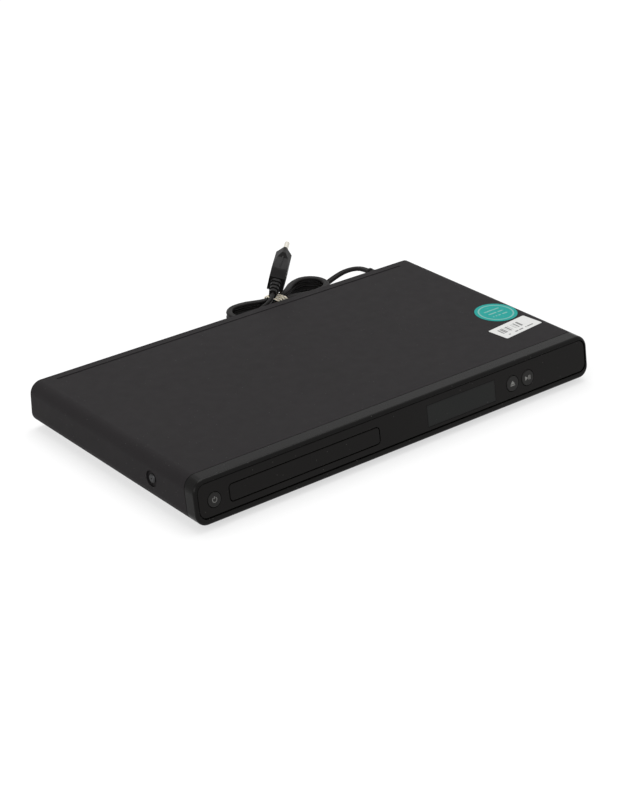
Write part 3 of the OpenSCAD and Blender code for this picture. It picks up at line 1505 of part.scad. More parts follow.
module plug() {
  half = plug_w / 2;
  thick = plug_t / 2;
  neck = plug_l - 27;
  taper = 6.4;
  ring = neck / 4;
  color(black) plug_frame() {
    // segmented relief
    for (i = [0:3])
      translate([0, 0, ring * i]) linear_extrude(ring - 1.1)
        rounded2d(cord_t + 2.6 + 0.9 * i, cord_w + 2.6 + 1.2 * i, 2.4);
    linear_extrude(neck + 1) rounded2d(cord_t + 1.6, cord_w + 1.8, 2.3);
    // body, pinched where it is gripped
    intersection() {
      edge_on(plug_t) polygon([[-6, neck], [6, neck], [7.4, neck + 2], [11, neck + 6],
        [12.6, neck + 12], [13.8, neck + 17.5], [half - 0.6, neck + 20], [half, neck + 22],
        [half, plug_l], [-half, plug_l], [-half, neck + 22], [0.6 - half, neck + 20],
        [-13.8, neck + 17.5], [-12.6, neck + 12], [-11, neck + 6], [-7.4, neck + 2]]);
      linear_extrude(plug_l) polygon([[-thick, taper - half], [-thick, half - taper],
        [-1, half], [1, half], [thick, half - taper], [thick, taper - half], [1, -half],
        [-1, -half]]);
    }
    // rib along the middle of each grip
    for (side = [-1, 1])
      edge_on(1.2) polygon([for (p = [[6, 2], [8.4, 3], [12, 7.5], [14, 13], [15, 18], [13, 20]])
        [side * p[0], neck + p[1]]]);
  }
}

// Stands a drawing of the plug's width and length in the middle of its thickness
module edge_on(thickness) {
  rotate([90, 0, 90]) translate([0, 0, -thickness / 2]) linear_extrude(thickness) children();
}

module plug_pins() {
  color([0.8, 0.78, 0.7]) plug_frame()
    for (side = [-1, 1])
      translate([0, side * pin_pitch / 2, plug_l]) rotate_extrude()
        polygon([[0, 0], [pin_r, 0], [pin_r, pin_l - 1], [pin_r - 1, pin_l], [0, pin_l]]);
}

// A band wound round the waist of the hank, as one spiral
band_w = 1.6;
band_t = 1;
band_step = 2.8;
band_turns = 4;
band_y = waist_y + flat_x + 0.7 + band_t / 2;
band_low = level_low - flat_z - 0.3 - band_t / 2;
band_high = level_low + last_level * level_step + flat_z + 0.4 + band_t / 2;
band_corner = 2;
band_ring = [for (c = [[1, -1, -90], [1, 1, 0], [-1, 1, 90], [-1, -1, 180]])
  for (a = [0, 45, 90])
    [c[0] * (band_y - band_corner) + band_corner * cos(c[2] + a),
      (c[1] < 0 ? band_low + band_corner : band_high - band_corner) + band_corner * sin(c[2] + a)]];

module rubber_band() {
  n = len(band_ring);
  count = n * band_turns;
  function at(i) = [band_step * (i / n - band_turns / 2), band_ring[i % n][0], band_ring[i % n][1]];
  path = [for (i = [0:count]) at(i)];
  rings = [for (i = [0:count])
    let (t = heading(path, i), out = unit(cross(t, [1, 0, 0])), w = unit(cross(out, t)))
      each [path[i] + w * band_w / 2 + out * band_t / 2, path[i] - w * band_w / 2 + out * band_t / 2,
        path[i] - w * band_w / 2 - out * band_t / 2, path[i] + w * band_w / 2 - out * band_t / 2]];
  sides = [for (i = [0:count - 1])
    for (j = [0:3])
      let (a = i * 4, b = a + 4, k = (j + 1) % 4)
        each [[a + j, a + k, b + k], [a + j, b + k, b + j]]];
  color([0.88, 0.84, 0.68]) translate([hank_x, hank_y, 0]) rotate(hank_turn) polyhedron(points = rings,
    faces = concat([[3, 2, 1, 0]], sides, [[for (j = [0:3]) count * 4 + j]]));
}

top_cover();
bottom_chassis();
rear_panel();
front_panel();
front_fascia();
tray_door();
display_window();
power_button();
eject_button();
play_button();
power_plunger();
eject_plunger();
play_plunger();
tact_switches();
front_boards();
display_module();
cover_screws();
feet();
round_sticker();
blank_label();
loader_frame();
loader_screws();
disc_tray();
clamp_bridge();
clamp_puck();
clamp_magnet();
loading_motor();
motor_pulley();
drive_belt();
pulley_gear();
drive_gear();
cam_slide();
lift_frame();
dampers();
damper_screws();
traverse_deck();
guide_rods();
spindle_motor();
turntable();
pickup_body();
pickup_lens();
sled_motor();
lead_screw();
main_board();
main_board_chips();
ribbon_cables();
hdmi_socket();
scart_socket();
phono_sockets();
board_screws();
power_board();
transformer();
power_components();
heatsink();
strain_relief();
cord_lead();
cord_hank();
plug();
plug_pins();
rubber_band();
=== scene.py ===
"""Studio scene of a slim disc player with a motor-driven tray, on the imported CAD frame."""
import json
import math

import bmesh
import bpy
from mathutils import Matrix, Vector

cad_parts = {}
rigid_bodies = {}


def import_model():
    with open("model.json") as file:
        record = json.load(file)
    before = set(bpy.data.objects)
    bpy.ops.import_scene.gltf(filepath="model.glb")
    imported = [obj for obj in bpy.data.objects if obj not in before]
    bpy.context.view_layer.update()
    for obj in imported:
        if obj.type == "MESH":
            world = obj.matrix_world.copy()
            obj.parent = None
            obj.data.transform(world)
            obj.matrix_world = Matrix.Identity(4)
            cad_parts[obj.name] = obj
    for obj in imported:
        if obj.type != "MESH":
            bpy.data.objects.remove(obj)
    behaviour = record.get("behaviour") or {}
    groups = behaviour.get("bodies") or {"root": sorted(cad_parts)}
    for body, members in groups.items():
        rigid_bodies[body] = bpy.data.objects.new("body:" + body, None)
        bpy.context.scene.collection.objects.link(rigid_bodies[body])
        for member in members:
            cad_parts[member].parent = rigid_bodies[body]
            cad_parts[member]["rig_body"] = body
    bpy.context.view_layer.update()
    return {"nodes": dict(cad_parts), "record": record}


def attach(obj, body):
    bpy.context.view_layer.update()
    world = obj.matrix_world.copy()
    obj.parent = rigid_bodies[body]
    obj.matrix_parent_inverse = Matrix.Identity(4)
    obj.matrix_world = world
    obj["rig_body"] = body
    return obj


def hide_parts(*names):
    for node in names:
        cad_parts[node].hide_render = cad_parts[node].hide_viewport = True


MM = 0.001

# The camera, found from the straight edges of the casing: millimetres and degrees
CAMERA_AT = (-837.7, -1028.8, 656.0)
CAMERA_TURN = -39.02
CAMERA_HEIGHT = 26.27
CAMERA_ROLL = -0.419
CAMERA_LENS = 91.27

# The casing and its front, in millimetres, as the construction has them
HALF_W = 180
BODY_H = 31.6
FOOT_H = 4
FRONT_Y = -103.694
REAR_Y = 95.306
TOP_R = 9
LOW_R = 8.6
FACE_SLOPE = 5.1 / BODY_H
LEAN = math.atan(FACE_SLOPE)
PANEL_D = 10.9
PANEL_WALL = 2
EDGE_R = 2.4
GROOVE = 0.6
FASCIA_IN = 0.6
FASCIA_BACK = 2.6
BACKING = 4.2
# Rounded boxes on the front: middle across and up, width, tallness and corner radius
FASCIA = (0, 16.75, 354.2, 23.5, 6)
DOOR = (-87.7, 15.8, 128.4, 11.6, 2.5)
WINDOW = (53.3, 15.6, 65.2, 15.8, 0.5)
DOOR_GAP = 0.6
# The posts behind the panel that the front boards are screwed to, across and up
POSTS = ((16, 8.6), (16, 24.4), (91.2, 8.6), (91.2, 24.4), (130, 8.6), (130, 24.4),
         (-172, 21.8), (-158.2, 9.2))
# The two lugs behind the door: place from its middle, half width, front, back, low and high
LUG_X = 44
LUG_HALF = 5
LUG_Y = (1.6, 8.5)
LUG_Z = (17.6, 21.2)
# The middles of the labels, across and back from the front's lower edge
ROUND_LABEL = (156.5, 76.5)
OBLONG_LABEL = (149, 48)
OBLONG_TURN = math.radians(6)
# Each key's place across and its diameter
KEYS = {"power": (-164.6, 10.2), "eject": (103, 11.4), "play": (118.2, 11.4)}
KEY_H = 15.8
KEY_GAP = 0.35
KEY_FRONT = FASCIA_IN * math.cos(LEAN) - 0.3
KEY_SEAT = BACKING * math.cos(LEAN)

# The mains lead, folded into a hank behind the casing
CORD_W = 5.2
CORD_T = 3.2
HANK_X = 67.5
HANK_Y = REAR_Y + 30
HANK_TURN = math.radians(8)
FOLD_X = 36.5
FOLD_R = 13
WAIST_Y = 2.95
WAIST_FLAT = 3
BAND_X = -3
BAND_SLACK = 1.3
LEVEL_LOW = 3.1
LEVEL_STEP = 3.7
LEVELS = 6
# How far the rise to the plug keeps its first and its last direction, and its steps
RISE_LOW = 12
RISE_HIGH = 10
RISE_STEPS = 16
PLUG_AT = Vector((49.9, REAR_Y + 14.8, LEVEL_LOW + (LEVELS - 1) * LEVEL_STEP + 13.1))
PLUG_HEAD = math.radians(42)
PLUG_RISE = math.radians(10.5)
PLUG_TURN = 77
PLUG_DIR = Vector((math.cos(PLUG_RISE) * math.cos(PLUG_HEAD),
                   math.cos(PLUG_RISE) * math.sin(PLUG_HEAD), math.sin(PLUG_RISE)))

for leftover in list(bpy.data.objects):
    bpy.data.objects.remove(leftover)
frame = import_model()
NODES = frame["nodes"]
SLOT = {row["node"]: row["material_slot"] for row in frame["record"]["subparts"]}
BODY = {name: piece["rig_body"] for name, piece in NODES.items()}


# ---- camera ----

def make_camera():
    azimuth, height, roll = map(math.radians, (CAMERA_TURN, CAMERA_HEIGHT, CAMERA_ROLL))
    right = Vector((math.cos(azimuth), math.sin(azimuth), 0))
    back = Vector((math.sin(azimuth) * math.cos(height), -math.cos(azimuth) * math.cos(height),
                   math.sin(height)))
    up = back.cross(right)
    across = math.cos(roll) * right + math.sin(roll) * up
    upward = math.cos(roll) * up - math.sin(roll) * right
    data = bpy.data.cameras.new("camera")
    data.lens = CAMERA_LENS
    data.sensor_width = 36
    data.clip_start = 0.05
    data.clip_end = 30
    camera = bpy.data.objects.new("camera", data)
    camera.matrix_world = (Matrix.Translation(Vector(CAMERA_AT) * MM)
                           @ Matrix((across, upward, back)).transposed().to_4x4())
    bpy.context.scene.collection.objects.link(camera)
    bpy.context.scene.camera = camera


make_camera()


# ---- node materials ----

class Value:
    """A shader socket that adds, subtracts, multiplies and divides like a number."""

    def __init__(self, owner, socket):
        self.owner = owner
        self.socket = socket

    def math(self, operation, *values):
        return self.owner.node("Math", {"operation": operation}, *values)

    def __add__(self, other):
        return self.math("ADD", self, other)

    def __sub__(self, other):
        return self.math("SUBTRACT", self, other)

    def __rsub__(self, other):
        return self.math("SUBTRACT", other, self)

    def __mul__(self, other):
        return self.math("MULTIPLY", self, other)

    def __truediv__(self, other):
        return self.math("DIVIDE", self, other)

    def __pow__(self, other):
        return self.math("POWER", self, other)

    def __abs__(self):
        return self.math("ABSOLUTE", self)

    def larger(self, other):
        return self.math("MAXIMUM", self, other)

    def wave(self):
        return self.math("SINE", self)

    __radd__ = __add__
    __rmul__ = __mul__


class Nodes:
    """Adds nodes to one tree, and sets or links their inputs."""

    def __init__(self, tree):
        self.tree = tree

    def put(self, socket, value):
        if isinstance(value, Value):
            self.tree.links.new(value.socket, socket)
        elif isinstance(value, (tuple, list)) and socket.type == "RGBA":
            socket.default_value = (*value[:3], 1)
        else:
            socket.default_value = value

    def node(self, kind, settings, *values, out=0, **named):
        """Adds a node: its type, its settings, then its values or links in order or by name."""
        made = self.tree.nodes.new("ShaderNode" + kind)
        for setting, choice in settings.items():
            setattr(made, setting, choice)
        for socket, value in zip(made.inputs, values):
            self.put(socket, value)
        for name, value in named.items():
            self.put(made.inputs[name.replace("_", " ")], value)
        return Value(self, made.outputs[out])

    def seen_directly(self):
        """1 for rays that show the surroundings themselves, 0 for those that light the object."""
        camera, glossy, through = (self.node("LightPath", {}, out=name) for name in
                                   ("Is Camera Ray", "Is Glossy Ray", "Is Transmission Ray"))
        return camera.larger(glossy).larger(through)


class Look(Nodes):
    """A node material round one Principled surface."""

    def __init__(self, name, **shader):
        self.material = bpy.data.materials.new(name)
        self.material.use_nodes = True
        super().__init__(self.material.node_tree)
        self.tree.nodes.clear()
        self.shader = self.tree.nodes.new("ShaderNodeBsdfPrincipled")
        self.output = self.tree.nodes.new("ShaderNodeOutputMaterial")
        self.tree.links.new(self.shader.outputs[0], self.output.inputs[0])
        self.place = self.node("TexCoord", {}, out="Object")
        self.surface(**shader)

    def surface(self, **named):
        for name, value in named.items():
            self.put(self.shader.inputs[name.replace("_", " ")], value)

    def axis(self, name):
        return self.node("SeparateXYZ", {}, self.place, out=name)

    def noise(self, size, detail=3.0, roughness=0.5, factors=None):
        """Cloudy variation from 0 to 1, with lumps of about the size in millimetres."""
        at = self.place
        if factors:
            at = self.node("VectorMath", {"operation": "MULTIPLY"}, at, factors)
        return self.node("TexNoise", {}, Vector=at, Scale=1 / (size * MM), Detail=detail,
                         Roughness=roughness)

    def cells(self, size, out="Distance", feature="F1"):
        """Cells of about the size in millimetres, by distance or by a colour for each."""
        return self.node("TexVoronoi", {"feature": feature}, Vector=self.place,
                         Scale=1 / (size * MM), out=out)

    def wires(self, axis, pitch):
        """Even waves from 0 to 1 along an axis, one for each pitch in millimetres."""
        return (self.axis(axis) * (2 * math.pi / (pitch * MM))).wave() * 0.5 + 0.5

    def ramp(self, value, low, high):
        """0 below low, 1 above high, smooth between them."""
        return self.node("MapRange", {"interpolation_type": "SMOOTHSTEP"}, value, low, high)

    def within(self, distance, edge, full):
        """1 where the distance is under full, 0 past the edge, both in millimetres."""
        return self.ramp(distance, edge * MM, full * MM)

    def mix(self, factor, first, second):
        made = self.tree.nodes.new("ShaderNodeMix")
        made.data_type = "RGBA"
        self.put(made.inputs[0], factor)
        self.put(made.inputs[6], first)
        self.put(made.inputs[7], second)
        return Value(self, made.outputs[2])

    def bump(self, height, strength=0.3, distance=0.1):
        """Turns a height from 0 to 1 into relief of the distance in millimetres."""
        self.surface(Normal=self.node("Bump", {}, Strength=strength, Distance=distance * MM,
                                      Height=height))

    def specks(self, size, share):
        """Small round specks, 0 to 1, on about this share of the cells of the size."""
        distance = self.cells(size)
        chance = self.node("SeparateColor", {}, self.cells(size, out="Color"), out=0)
        return self.ramp(distance, 0.16, 0.07) * self.ramp(chance, 1 - share, 1 - share + 0.02)


def powder_coat():
    """Charcoal powder coat: fine orange peel, faint cloudiness, a little pale dust."""
    look = Look("charcoal_powder_coat", Specular_IOR_Level=0.05)
    cloud = look.noise(60, 4, 0.55)
    grain = look.noise(0.5, 2, 0.6)
    shade = look.mix(cloud, (0.0118, 0.0106, 0.0112), (0.0155, 0.014, 0.0148))
    shade = look.mix(look.ramp(grain, 0.35, 0.7) * 0.4, shade, (0.021, 0.0195, 0.0202))
    dust = look.specks(2.4, 0.1) * 0.1
    look.surface(Base_Color=look.mix(dust, shade, (0.42, 0.42, 0.4)),
                 Roughness=0.5 + look.noise(9) * 0.14)
    look.bump(look.noise(0.7, 2, 0.6) + dust * 0.8, 0.3, 0.04)
    return look.material


def moulded(name, colour, roughness=0.45, grain=0.6, relief=0.25, level=0.45, spread=0.18):
    """Injection moulded plastic: fine spark texture, slight unevenness of tone and gloss."""
    look = Look(name, Specular_IOR_Level=level)
    tone = look.noise(22, 4)
    light = tuple(min(1, c * (1 + spread) + 0.002) for c in colour)
    dark = tuple(c * (1 - spread) for c in colour)
    texture = look.noise(grain, 2, 0.6)
    look.surface(Base_Color=look.mix(tone * 0.7 + texture * 0.3, dark, light),
                 Roughness=roughness + (look.noise(5) - 0.5) * 0.18)
    look.bump(texture, relief, 0.04)
    return look.material


def polished(name, colour, roughness, dust_share=0.14, level=0.5, tint=None):
    """Glossy plastic with hardly any texture, faint handling marks and a few dust specks."""
    look = Look(name, Specular_IOR_Level=level)
    tone = look.noise(40, 3)
    shade = look.mix(tone, colour, tint or tuple(c * 1.35 for c in colour))
    dust = look.specks(2.4, dust_share) * 0.14
    smear = look.ramp(look.noise(18, 5, 0.6, (1, 1, 2.5)), 0.45, 0.75)
    look.surface(Base_Color=look.mix(dust, shade, (0.35, 0.34, 0.32)),
                 Roughness=roughness + smear * 0.08 + dust * 0.3)
    look.bump(look.noise(30, 2) + dust * 0.3, 0.12, 0.05)
    return look.material


def metal(name, colour, roughness=0.3, streaks=(1, 14, 14), size=6, relief=0.12):
    """Bare or plated metal with fine drawn streaks and patchy gloss."""
    look = Look(name, Metallic=1.0)
    streak = look.noise(size, 5, 0.65, streaks)
    tone = look.noise(25, 3)
    dark = tuple(c * 0.78 for c in colour)
    look.surface(Base_Color=look.mix(streak * 0.6 + tone * 0.4, dark, colour),
                 Roughness=roughness + streak * 0.16)
    look.bump(streak, relief, 0.03)
    return look.material


def zinc_sheet():
    """Zinc-plated steel sheet with a faint spangle and rolling marks."""
    look = Look("zinc_plated_sheet", Metallic=0.92)
    spangle = look.node("SeparateColor", {}, look.cells(7, out="Color"), out=0)
    rolled = look.noise(5, 4, 0.6, (1, 10, 10))
    look.surface(Base_Color=look.mix(spangle * 0.45 + rolled * 0.55, (0.42, 0.43, 0.44),
                                     (0.66, 0.67, 0.68)),
                 Roughness=0.3 + spangle * 0.1 + rolled * 0.14)
    look.bump(rolled, 0.1, 0.03)
    return look.material


def circuit_board():
    """Green solder resist over copper tracks, with rows of small pads."""
    look = Look("green_circuit_board", Specular_IOR_Level=0.6)
    tracks = look.ramp(abs(look.cells(5, feature="DISTANCE_TO_EDGE") - 0.09), 0.045, 0.02)
    pads = look.specks(2.6, 0.35)
    base = look.mix(look.noise(14), (0.012, 0.085, 0.03), (0.02, 0.12, 0.045))
    base = look.mix(tracks * 0.6, base, (0.05, 0.2, 0.08))
    look.surface(Base_Color=look.mix(pads, base, (0.7, 0.68, 0.62)),
                 Metallic=pads * 0.8, Roughness=0.3 + tracks * 0.1)
    look.bump(tracks + pads, 0.3, 0.05)
    return look.material


def rubber(name, colour, roughness=0.62, grain=0.9, level=0.35):
    """Soft black rubber or cable sheath with a faint bloom."""
    look = Look(name, Specular_IOR_Level=level)
    soft = look.noise(grain, 3, 0.6)
    bloom = look.ramp(look.noise(16, 4, 0.6), 0.45, 0.8)
    look.surface(Base_Color=look.mix(bloom * 0.5 + soft * 0.2, colour,
                                     tuple(c * 1.6 + 0.004 for c in colour)),
                 Roughness=roughness + soft * 0.12)
    look.bump(soft, 0.2, 0.05)
    return look.material


def elastic_band():
    """Natural rubber band: cream, slightly powdery, with fine cut marks along its edges."""
    look = Look("cream_elastic", Specular_IOR_Level=0.3, Subsurface_Weight=0.08,
                Subsurface_Radius=(0.002, 0.0015, 0.001))
    tone = look.noise(5, 3)
    cut = look.noise(1.2, 2, 0.6, (4, 1, 1))
    look.surface(Base_Color=look.mix(tone * 0.6 + cut * 0.4, (0.72, 0.63, 0.46),
                                     (0.93, 0.89, 0.78)),
                 Roughness=0.5 + tone * 0.15)
    look.bump(cut, 0.25, 0.05)
    return look.material


def smoked_window():
    """Smoked display window: green-grey, deeper at the middle, darker just inside its rim."""
    look = Look("smoked_window", Specular_IOR_Level=0.15)
    x, h, w, tall, _ = WINDOW
    across = abs(look.axis("X") - x * MM)
    up = abs(look.axis("Z") - (FOOT_H + h) * MM)
    sides, ends = (look.ramp(off, (full / 2 - 1.3) * MM, (full / 2 - 0.9) * MM)
                   for off, full in ((across, w), (up, tall)))
    rim = sides.larger(ends)
    glass = look.mix(look.noise(30), (0.0045, 0.0052, 0.0047), (0.0068, 0.0075, 0.0068))
    dust = look.specks(2.6, 0.12) * 0.12
    look.surface(Base_Color=look.mix(dust, look.mix(rim * 0.75, glass, (0.003, 0.003, 0.003)),
                                     (0.35, 0.35, 0.33)),
                 Roughness=0.12 + look.noise(12) * 0.06)
    look.bump(look.noise(35, 2) + dust * 0.3, 0.1, 0.05)
    return look.material


def brushed_key():
    """Dark brushed key cap with fine bright specks in the brushing."""
    look = Look("brushed_dark_key", Specular_IOR_Level=0.16)
    brush = look.noise(2.4, 5, 0.7, (1, 12, 12))
    fleck = look.specks(0.8, 0.3)
    look.surface(Base_Color=look.mix(brush * 0.6 + fleck * 0.5, (0.0045, 0.0043, 0.004),
                                     (0.024, 0.023, 0.0215)),
                 Roughness=0.3 + brush * 0.2)
    look.bump(brush, 0.25, 0.03)
    return look.material


def pale_ink():
    """Thin pale print on the key caps."""
    look = Look("pale_grey_ink", Specular_IOR_Level=0.2)
    cover = look.noise(0.5, 2)
    look.surface(Base_Color=look.mix(cover, (0.14, 0.14, 0.133), (0.22, 0.22, 0.21)),
                 Roughness=0.5 + cover * 0.1)
    look.bump(cover, 0.1, 0.02)
    return look.material


def round_label():
    """Glossy teal label with a plain white ring and short plain dashes inside it."""
    look = Look("teal_label", Specular_IOR_Level=0.07)
    x = look.axis("X") - ROUND_LABEL[0] * MM
    y = look.axis("Y") - (FRONT_Y + ROUND_LABEL[1]) * MM
    radius = (x * x + y * y) ** 0.5
    ring = look.within(abs(radius - 13.2 * MM), 0.7, 0.5)
    rows = y / (5 * MM) + 0.5
    bars = (look.ramp(abs(rows.math("FRACT", rows) - 0.5), 0.16, 0.12)
            * look.within(abs(x), 7.6, 7.4) * look.within(radius, 9.6, 9.4)
            * look.ramp(look.noise(3, 0, 0.5, (1, 0.2, 1)), 0.4, 0.44))
    paper = look.mix(look.noise(5, 3), (0.002, 0.225, 0.198), (0.004, 0.27, 0.242))
    look.surface(Base_Color=look.mix(ring.larger(bars) * 0.5, paper, (0.3, 0.44, 0.41)),
                 Roughness=0.35 + look.noise(4) * 0.1)
    look.bump(look.noise(1.5, 2), 0.08, 0.02)
    return look.material


def oblong_label():
    """White paper label with plain grey bars where a shop prints its own."""
    look = Look("white_label", Specular_IOR_Level=0.3)
    dx = look.axis("X") - OBLONG_LABEL[0] * MM
    dy = look.axis("Y") - (FRONT_Y + OBLONG_LABEL[1]) * MM
    c, s = math.cos(OBLONG_TURN), math.sin(OBLONG_TURN)
    x = dx * c + dy * s
    y = dy * c - dx * s
    code = (look.ramp(look.noise(1.3, 0, 0.5, (1, 0.001, 1)), 0.47, 0.53)
            * look.within(abs(x + 3 * MM), 12.6, 12.5) * look.within(abs(y - 1.5 * MM), 3.6, 3.5))
    line = (look.ramp(look.noise(2.2, 0, 0.5, (1, 0.001, 1)), 0.42, 0.5)
            * look.within(abs(x), 14, 13.8) * look.within(abs(y + 5.6 * MM), 0.75, 0.6))
    paper = look.mix(look.noise(3, 3), (0.52, 0.52, 0.51), (0.58, 0.58, 0.57))
    look.surface(Base_Color=look.mix(code.larger(line) * 0.8, paper, (0.06, 0.06, 0.06)),
                 Roughness=0.55 + look.noise(2) * 0.1)
    look.bump(look.noise(0.8, 2), 0.1, 0.02)
    return look.material


def lens_glass():
    """Coated lens with a deep blue sheen."""
    look = Look("coated_lens", Specular_IOR_Level=0.8, Coat_Weight=0.6)
    tone = look.noise(2, 2)
    look.surface(Base_Color=look.mix(tone, (0.03, 0.06, 0.16), (0.06, 0.1, 0.24)),
                 Roughness=0.05 + tone * 0.05)
    look.bump(tone, 0.05, 0.02)
    return look.material


def flat_cable():
    """Pale flat cable with its wires showing as fine parallel lines."""
    look = Look("flat_cable", Specular_IOR_Level=0.4)
    wires = look.wires("X", 1.25)
    look.surface(Base_Color=look.mix(wires * 0.7 + look.noise(4) * 0.3, (0.42, 0.43, 0.45),
                                     (0.72, 0.73, 0.75)),
                 Roughness=0.35 + wires * 0.1)
    look.bump(wires, 0.4, 0.1)
    return look.material


def coil_tape():
    """Yellow tape round a winding, whose turns show through."""
    look = Look("coil_and_tape", Specular_IOR_Level=0.4)
    turns = look.wires("Z", 0.6)
    look.surface(Base_Color=look.mix(turns * 0.5 + look.noise(5) * 0.5, (0.5, 0.36, 0.05),
                                     (0.68, 0.55, 0.14)),
                 Roughness=0.4 + turns * 0.1)
    look.bump(turns, 0.3, 0.05)
    return look.material


LOOKS = {
    "cover_paint": powder_coat(),
    "zinc_sheet": zinc_sheet(),
    "front_black": polished("gloss_black_panel", (0.0028, 0.0026, 0.0024), 0.24, level=0.1),
    "fascia_black": polished("gloss_brown_black_fascia", (0.0034, 0.0029, 0.0026), 0.14, 0.12,
                             level=0.1, tint=(0.0052, 0.0045, 0.0041)),
    "window_smoke": smoked_window(),
    "key_black": brushed_key(),
    "white_plastic": moulded("natural_white_plastic", (0.66, 0.66, 0.61), 0.42, spread=0.06),
    "black_plastic": moulded("black_spark_plastic", (0.009, 0.009, 0.0095), 0.48, 0.8, 0.35, 0.25),
    "switch_metal": metal("tinned_steel", (0.66, 0.66, 0.65), 0.25, (1, 1, 1), 2),
    "board_green": circuit_board(),
    "display_dark": polished("display_glass", (0.012, 0.016, 0.015), 0.1, 0.02),
    "screw_black": metal("black_plated_screw", (0.045, 0.045, 0.047), 0.34, (1, 1, 1), 1.5),
    "screw_steel": metal("zinc_plated_screw", (0.62, 0.62, 0.6), 0.25, (1, 1, 1), 1.5),
    "rubber_black": rubber("black_rubber", (0.014, 0.014, 0.014)),
    "label_teal": round_label(),
    "label_white": oblong_label(),
    "magnet_grey": metal("sintered_magnet", (0.2, 0.2, 0.21), 0.5, (1, 1, 1), 0.6, 0.3),
    "motor_steel": metal("motor_can", (0.55, 0.56, 0.57), 0.28, (1, 1, 6)),
    "brass": metal("turned_brass", (0.62, 0.45, 0.17), 0.22, (1, 1, 20), 2),
    "rod_steel": metal("ground_rod", (0.75, 0.75, 0.76), 0.12, (12, 1, 12), 3, 0.05),
    "pickup_alloy": metal("cast_alloy", (0.42, 0.43, 0.44), 0.45, (1, 1, 1), 0.9, 0.35),
    "lens_glass": lens_glass(),
    "chip_black": moulded("chip_resin", (0.013, 0.013, 0.014), 0.5, 0.4, 0.3),
    "ribbon_grey": flat_cable(),
    "socket_metal": metal("nickel_shell", (0.68, 0.67, 0.65), 0.2, (1, 1, 1), 3),
    "socket_black": moulded("socket_plastic", (0.014, 0.014, 0.015), 0.42, 0.7),
    "coil_yellow": coil_tape(),
    "component_blue": moulded("sleeved_component", (0.02, 0.03, 0.055), 0.35, 1.2, 0.15),
    "heatsink_alloy": metal("heatsink_alloy", (0.6, 0.61, 0.62), 0.4, (1, 1, 10), 4),
    "cord_black": rubber("cord_sheath", (0.0042, 0.0034, 0.0034), 0.4, 1.5, 0.12),
    "plug_black": moulded("plug_plastic", (0.0062, 0.0058, 0.0056), 0.4, 0.9, 0.3, 0.13),
    "pin_nickel": metal("nickel_pin", (0.72, 0.69, 0.62), 0.22, (1, 1, 10), 2),
    "band_cream": elastic_band(),
}
INK = pale_ink()


# ---- mesh helpers ----

def mesh_of(name, bm, angle=32):
    """Turns a bmesh into a mesh that is smooth except along its sharp edges."""
    bmesh.ops.recalc_face_normals(bm, faces=bm.faces)
    mesh = bpy.data.meshes.new(name)
    bm.to_mesh(mesh)
    bm.free()
    mesh.shade_smooth()
    mesh.set_sharp_from_angle(angle=math.radians(angle))
    return mesh


def loft(rings):
    """A closed bmesh through rings of equally many points."""
    bm = bmesh.new()
    rows = [[bm.verts.new(p) for p in ring] for ring in rings]
    count = len(rows[0])
    for low, high in zip(rows, rows[1:]):
        for i in range(count):
            j = (i + 1) % count
            bm.faces.new((low[i], low[j], high[j], high[i]))
    bm.faces.new(list(reversed(rows[0])))
    bm.faces.new(rows[-1])
    bmesh.ops.recalc_face_normals(bm, faces=bm.faces)
    return bm


def joined(parts):
    """One bmesh with the faces of several."""
    whole = bmesh.new()
    for part in parts:
        mesh = bpy.data.meshes.new("part")
        part.to_mesh(mesh)
        part.free()
        whole.from_mesh(mesh)
        bpy.data.meshes.remove(mesh)
    return whole


def cut(solid, cutters):
    """The solid with each cutter taken away from it."""
    scratch = []

    def loose(bm):
        mesh = bpy.data.meshes.new("scratch")
        bm.to_mesh(mesh)
        bm.free()
        piece = bpy.data.objects.new("scratch", mesh)
        bpy.context.scene.collection.objects.link(piece)
        scratch.append(piece)
        return piece

    base = loose(solid)
    for cutter in cutters:
        step = base.modifiers.new("cut", "BOOLEAN")
        step.operation = "DIFFERENCE"
        step.solver = "EXACT"
        step.object = loose(cutter)
    graph = bpy.context.evaluated_depsgraph_get()
    graph.update()
    result = bmesh.new()
    result.from_mesh(base.evaluated_get(graph).data)
    for piece in scratch:
        mesh = piece.data
        bpy.data.objects.remove(piece)
        bpy.data.meshes.remove(mesh)
    return result


def stand_in(name, mesh, *nodes, look=None, even=True):
    """The shown piece that stands for these CAD nodes and rides on their body."""
    piece = bpy.data.objects.new(name, mesh)
    bpy.context.scene.collection.objects.link(piece)
    mesh.materials.clear()
    mesh.materials.append(look or LOOKS[SLOT[nodes[0]]])
    if even:
        piece.modifiers.new("even_shading", "WEIGHTED_NORMAL").keep_sharp = True
    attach(piece, BODY[nodes[0]])
    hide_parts(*nodes)
    return piece


def refined(node, width, segments=2, angle=34, merged=True):
    """A copy of a CAD node with welded faces and edges rounded by a width in millimetres.

    A face with many holes is not merged, because it would lose parts when it is filled again.
    """
    source = NODES[node].data
    bm = bmesh.new()
    points = [bm.verts.new(v.co) for v in source.vertices]
    for polygon in source.polygons:
        bm.faces.new([points[i] for i in polygon.vertices])
    bmesh.ops.remove_doubles(bm, verts=bm.verts, dist=0.004 * MM)
    if merged:
        bmesh.ops.dissolve_limit(bm, angle_limit=math.radians(0.6), verts=bm.verts,
                                 edges=bm.edges)
    mesh = mesh_of(node + "_piece", bm, angle)
    piece = stand_in(node + "_piece", mesh, node, even=False)
    bevel = piece.modifiers.new("rounded_edges", "BEVEL")
    bevel.width = width * MM
    bevel.segments = segments
    bevel.limit_method = "ANGLE"
    bevel.angle_limit = math.radians(angle)
    bevel.miter_outer = "MITER_ARC"
    piece.modifiers.new("even_shading", "WEIGHTED_NORMAL").keep_sharp = True
    return piece


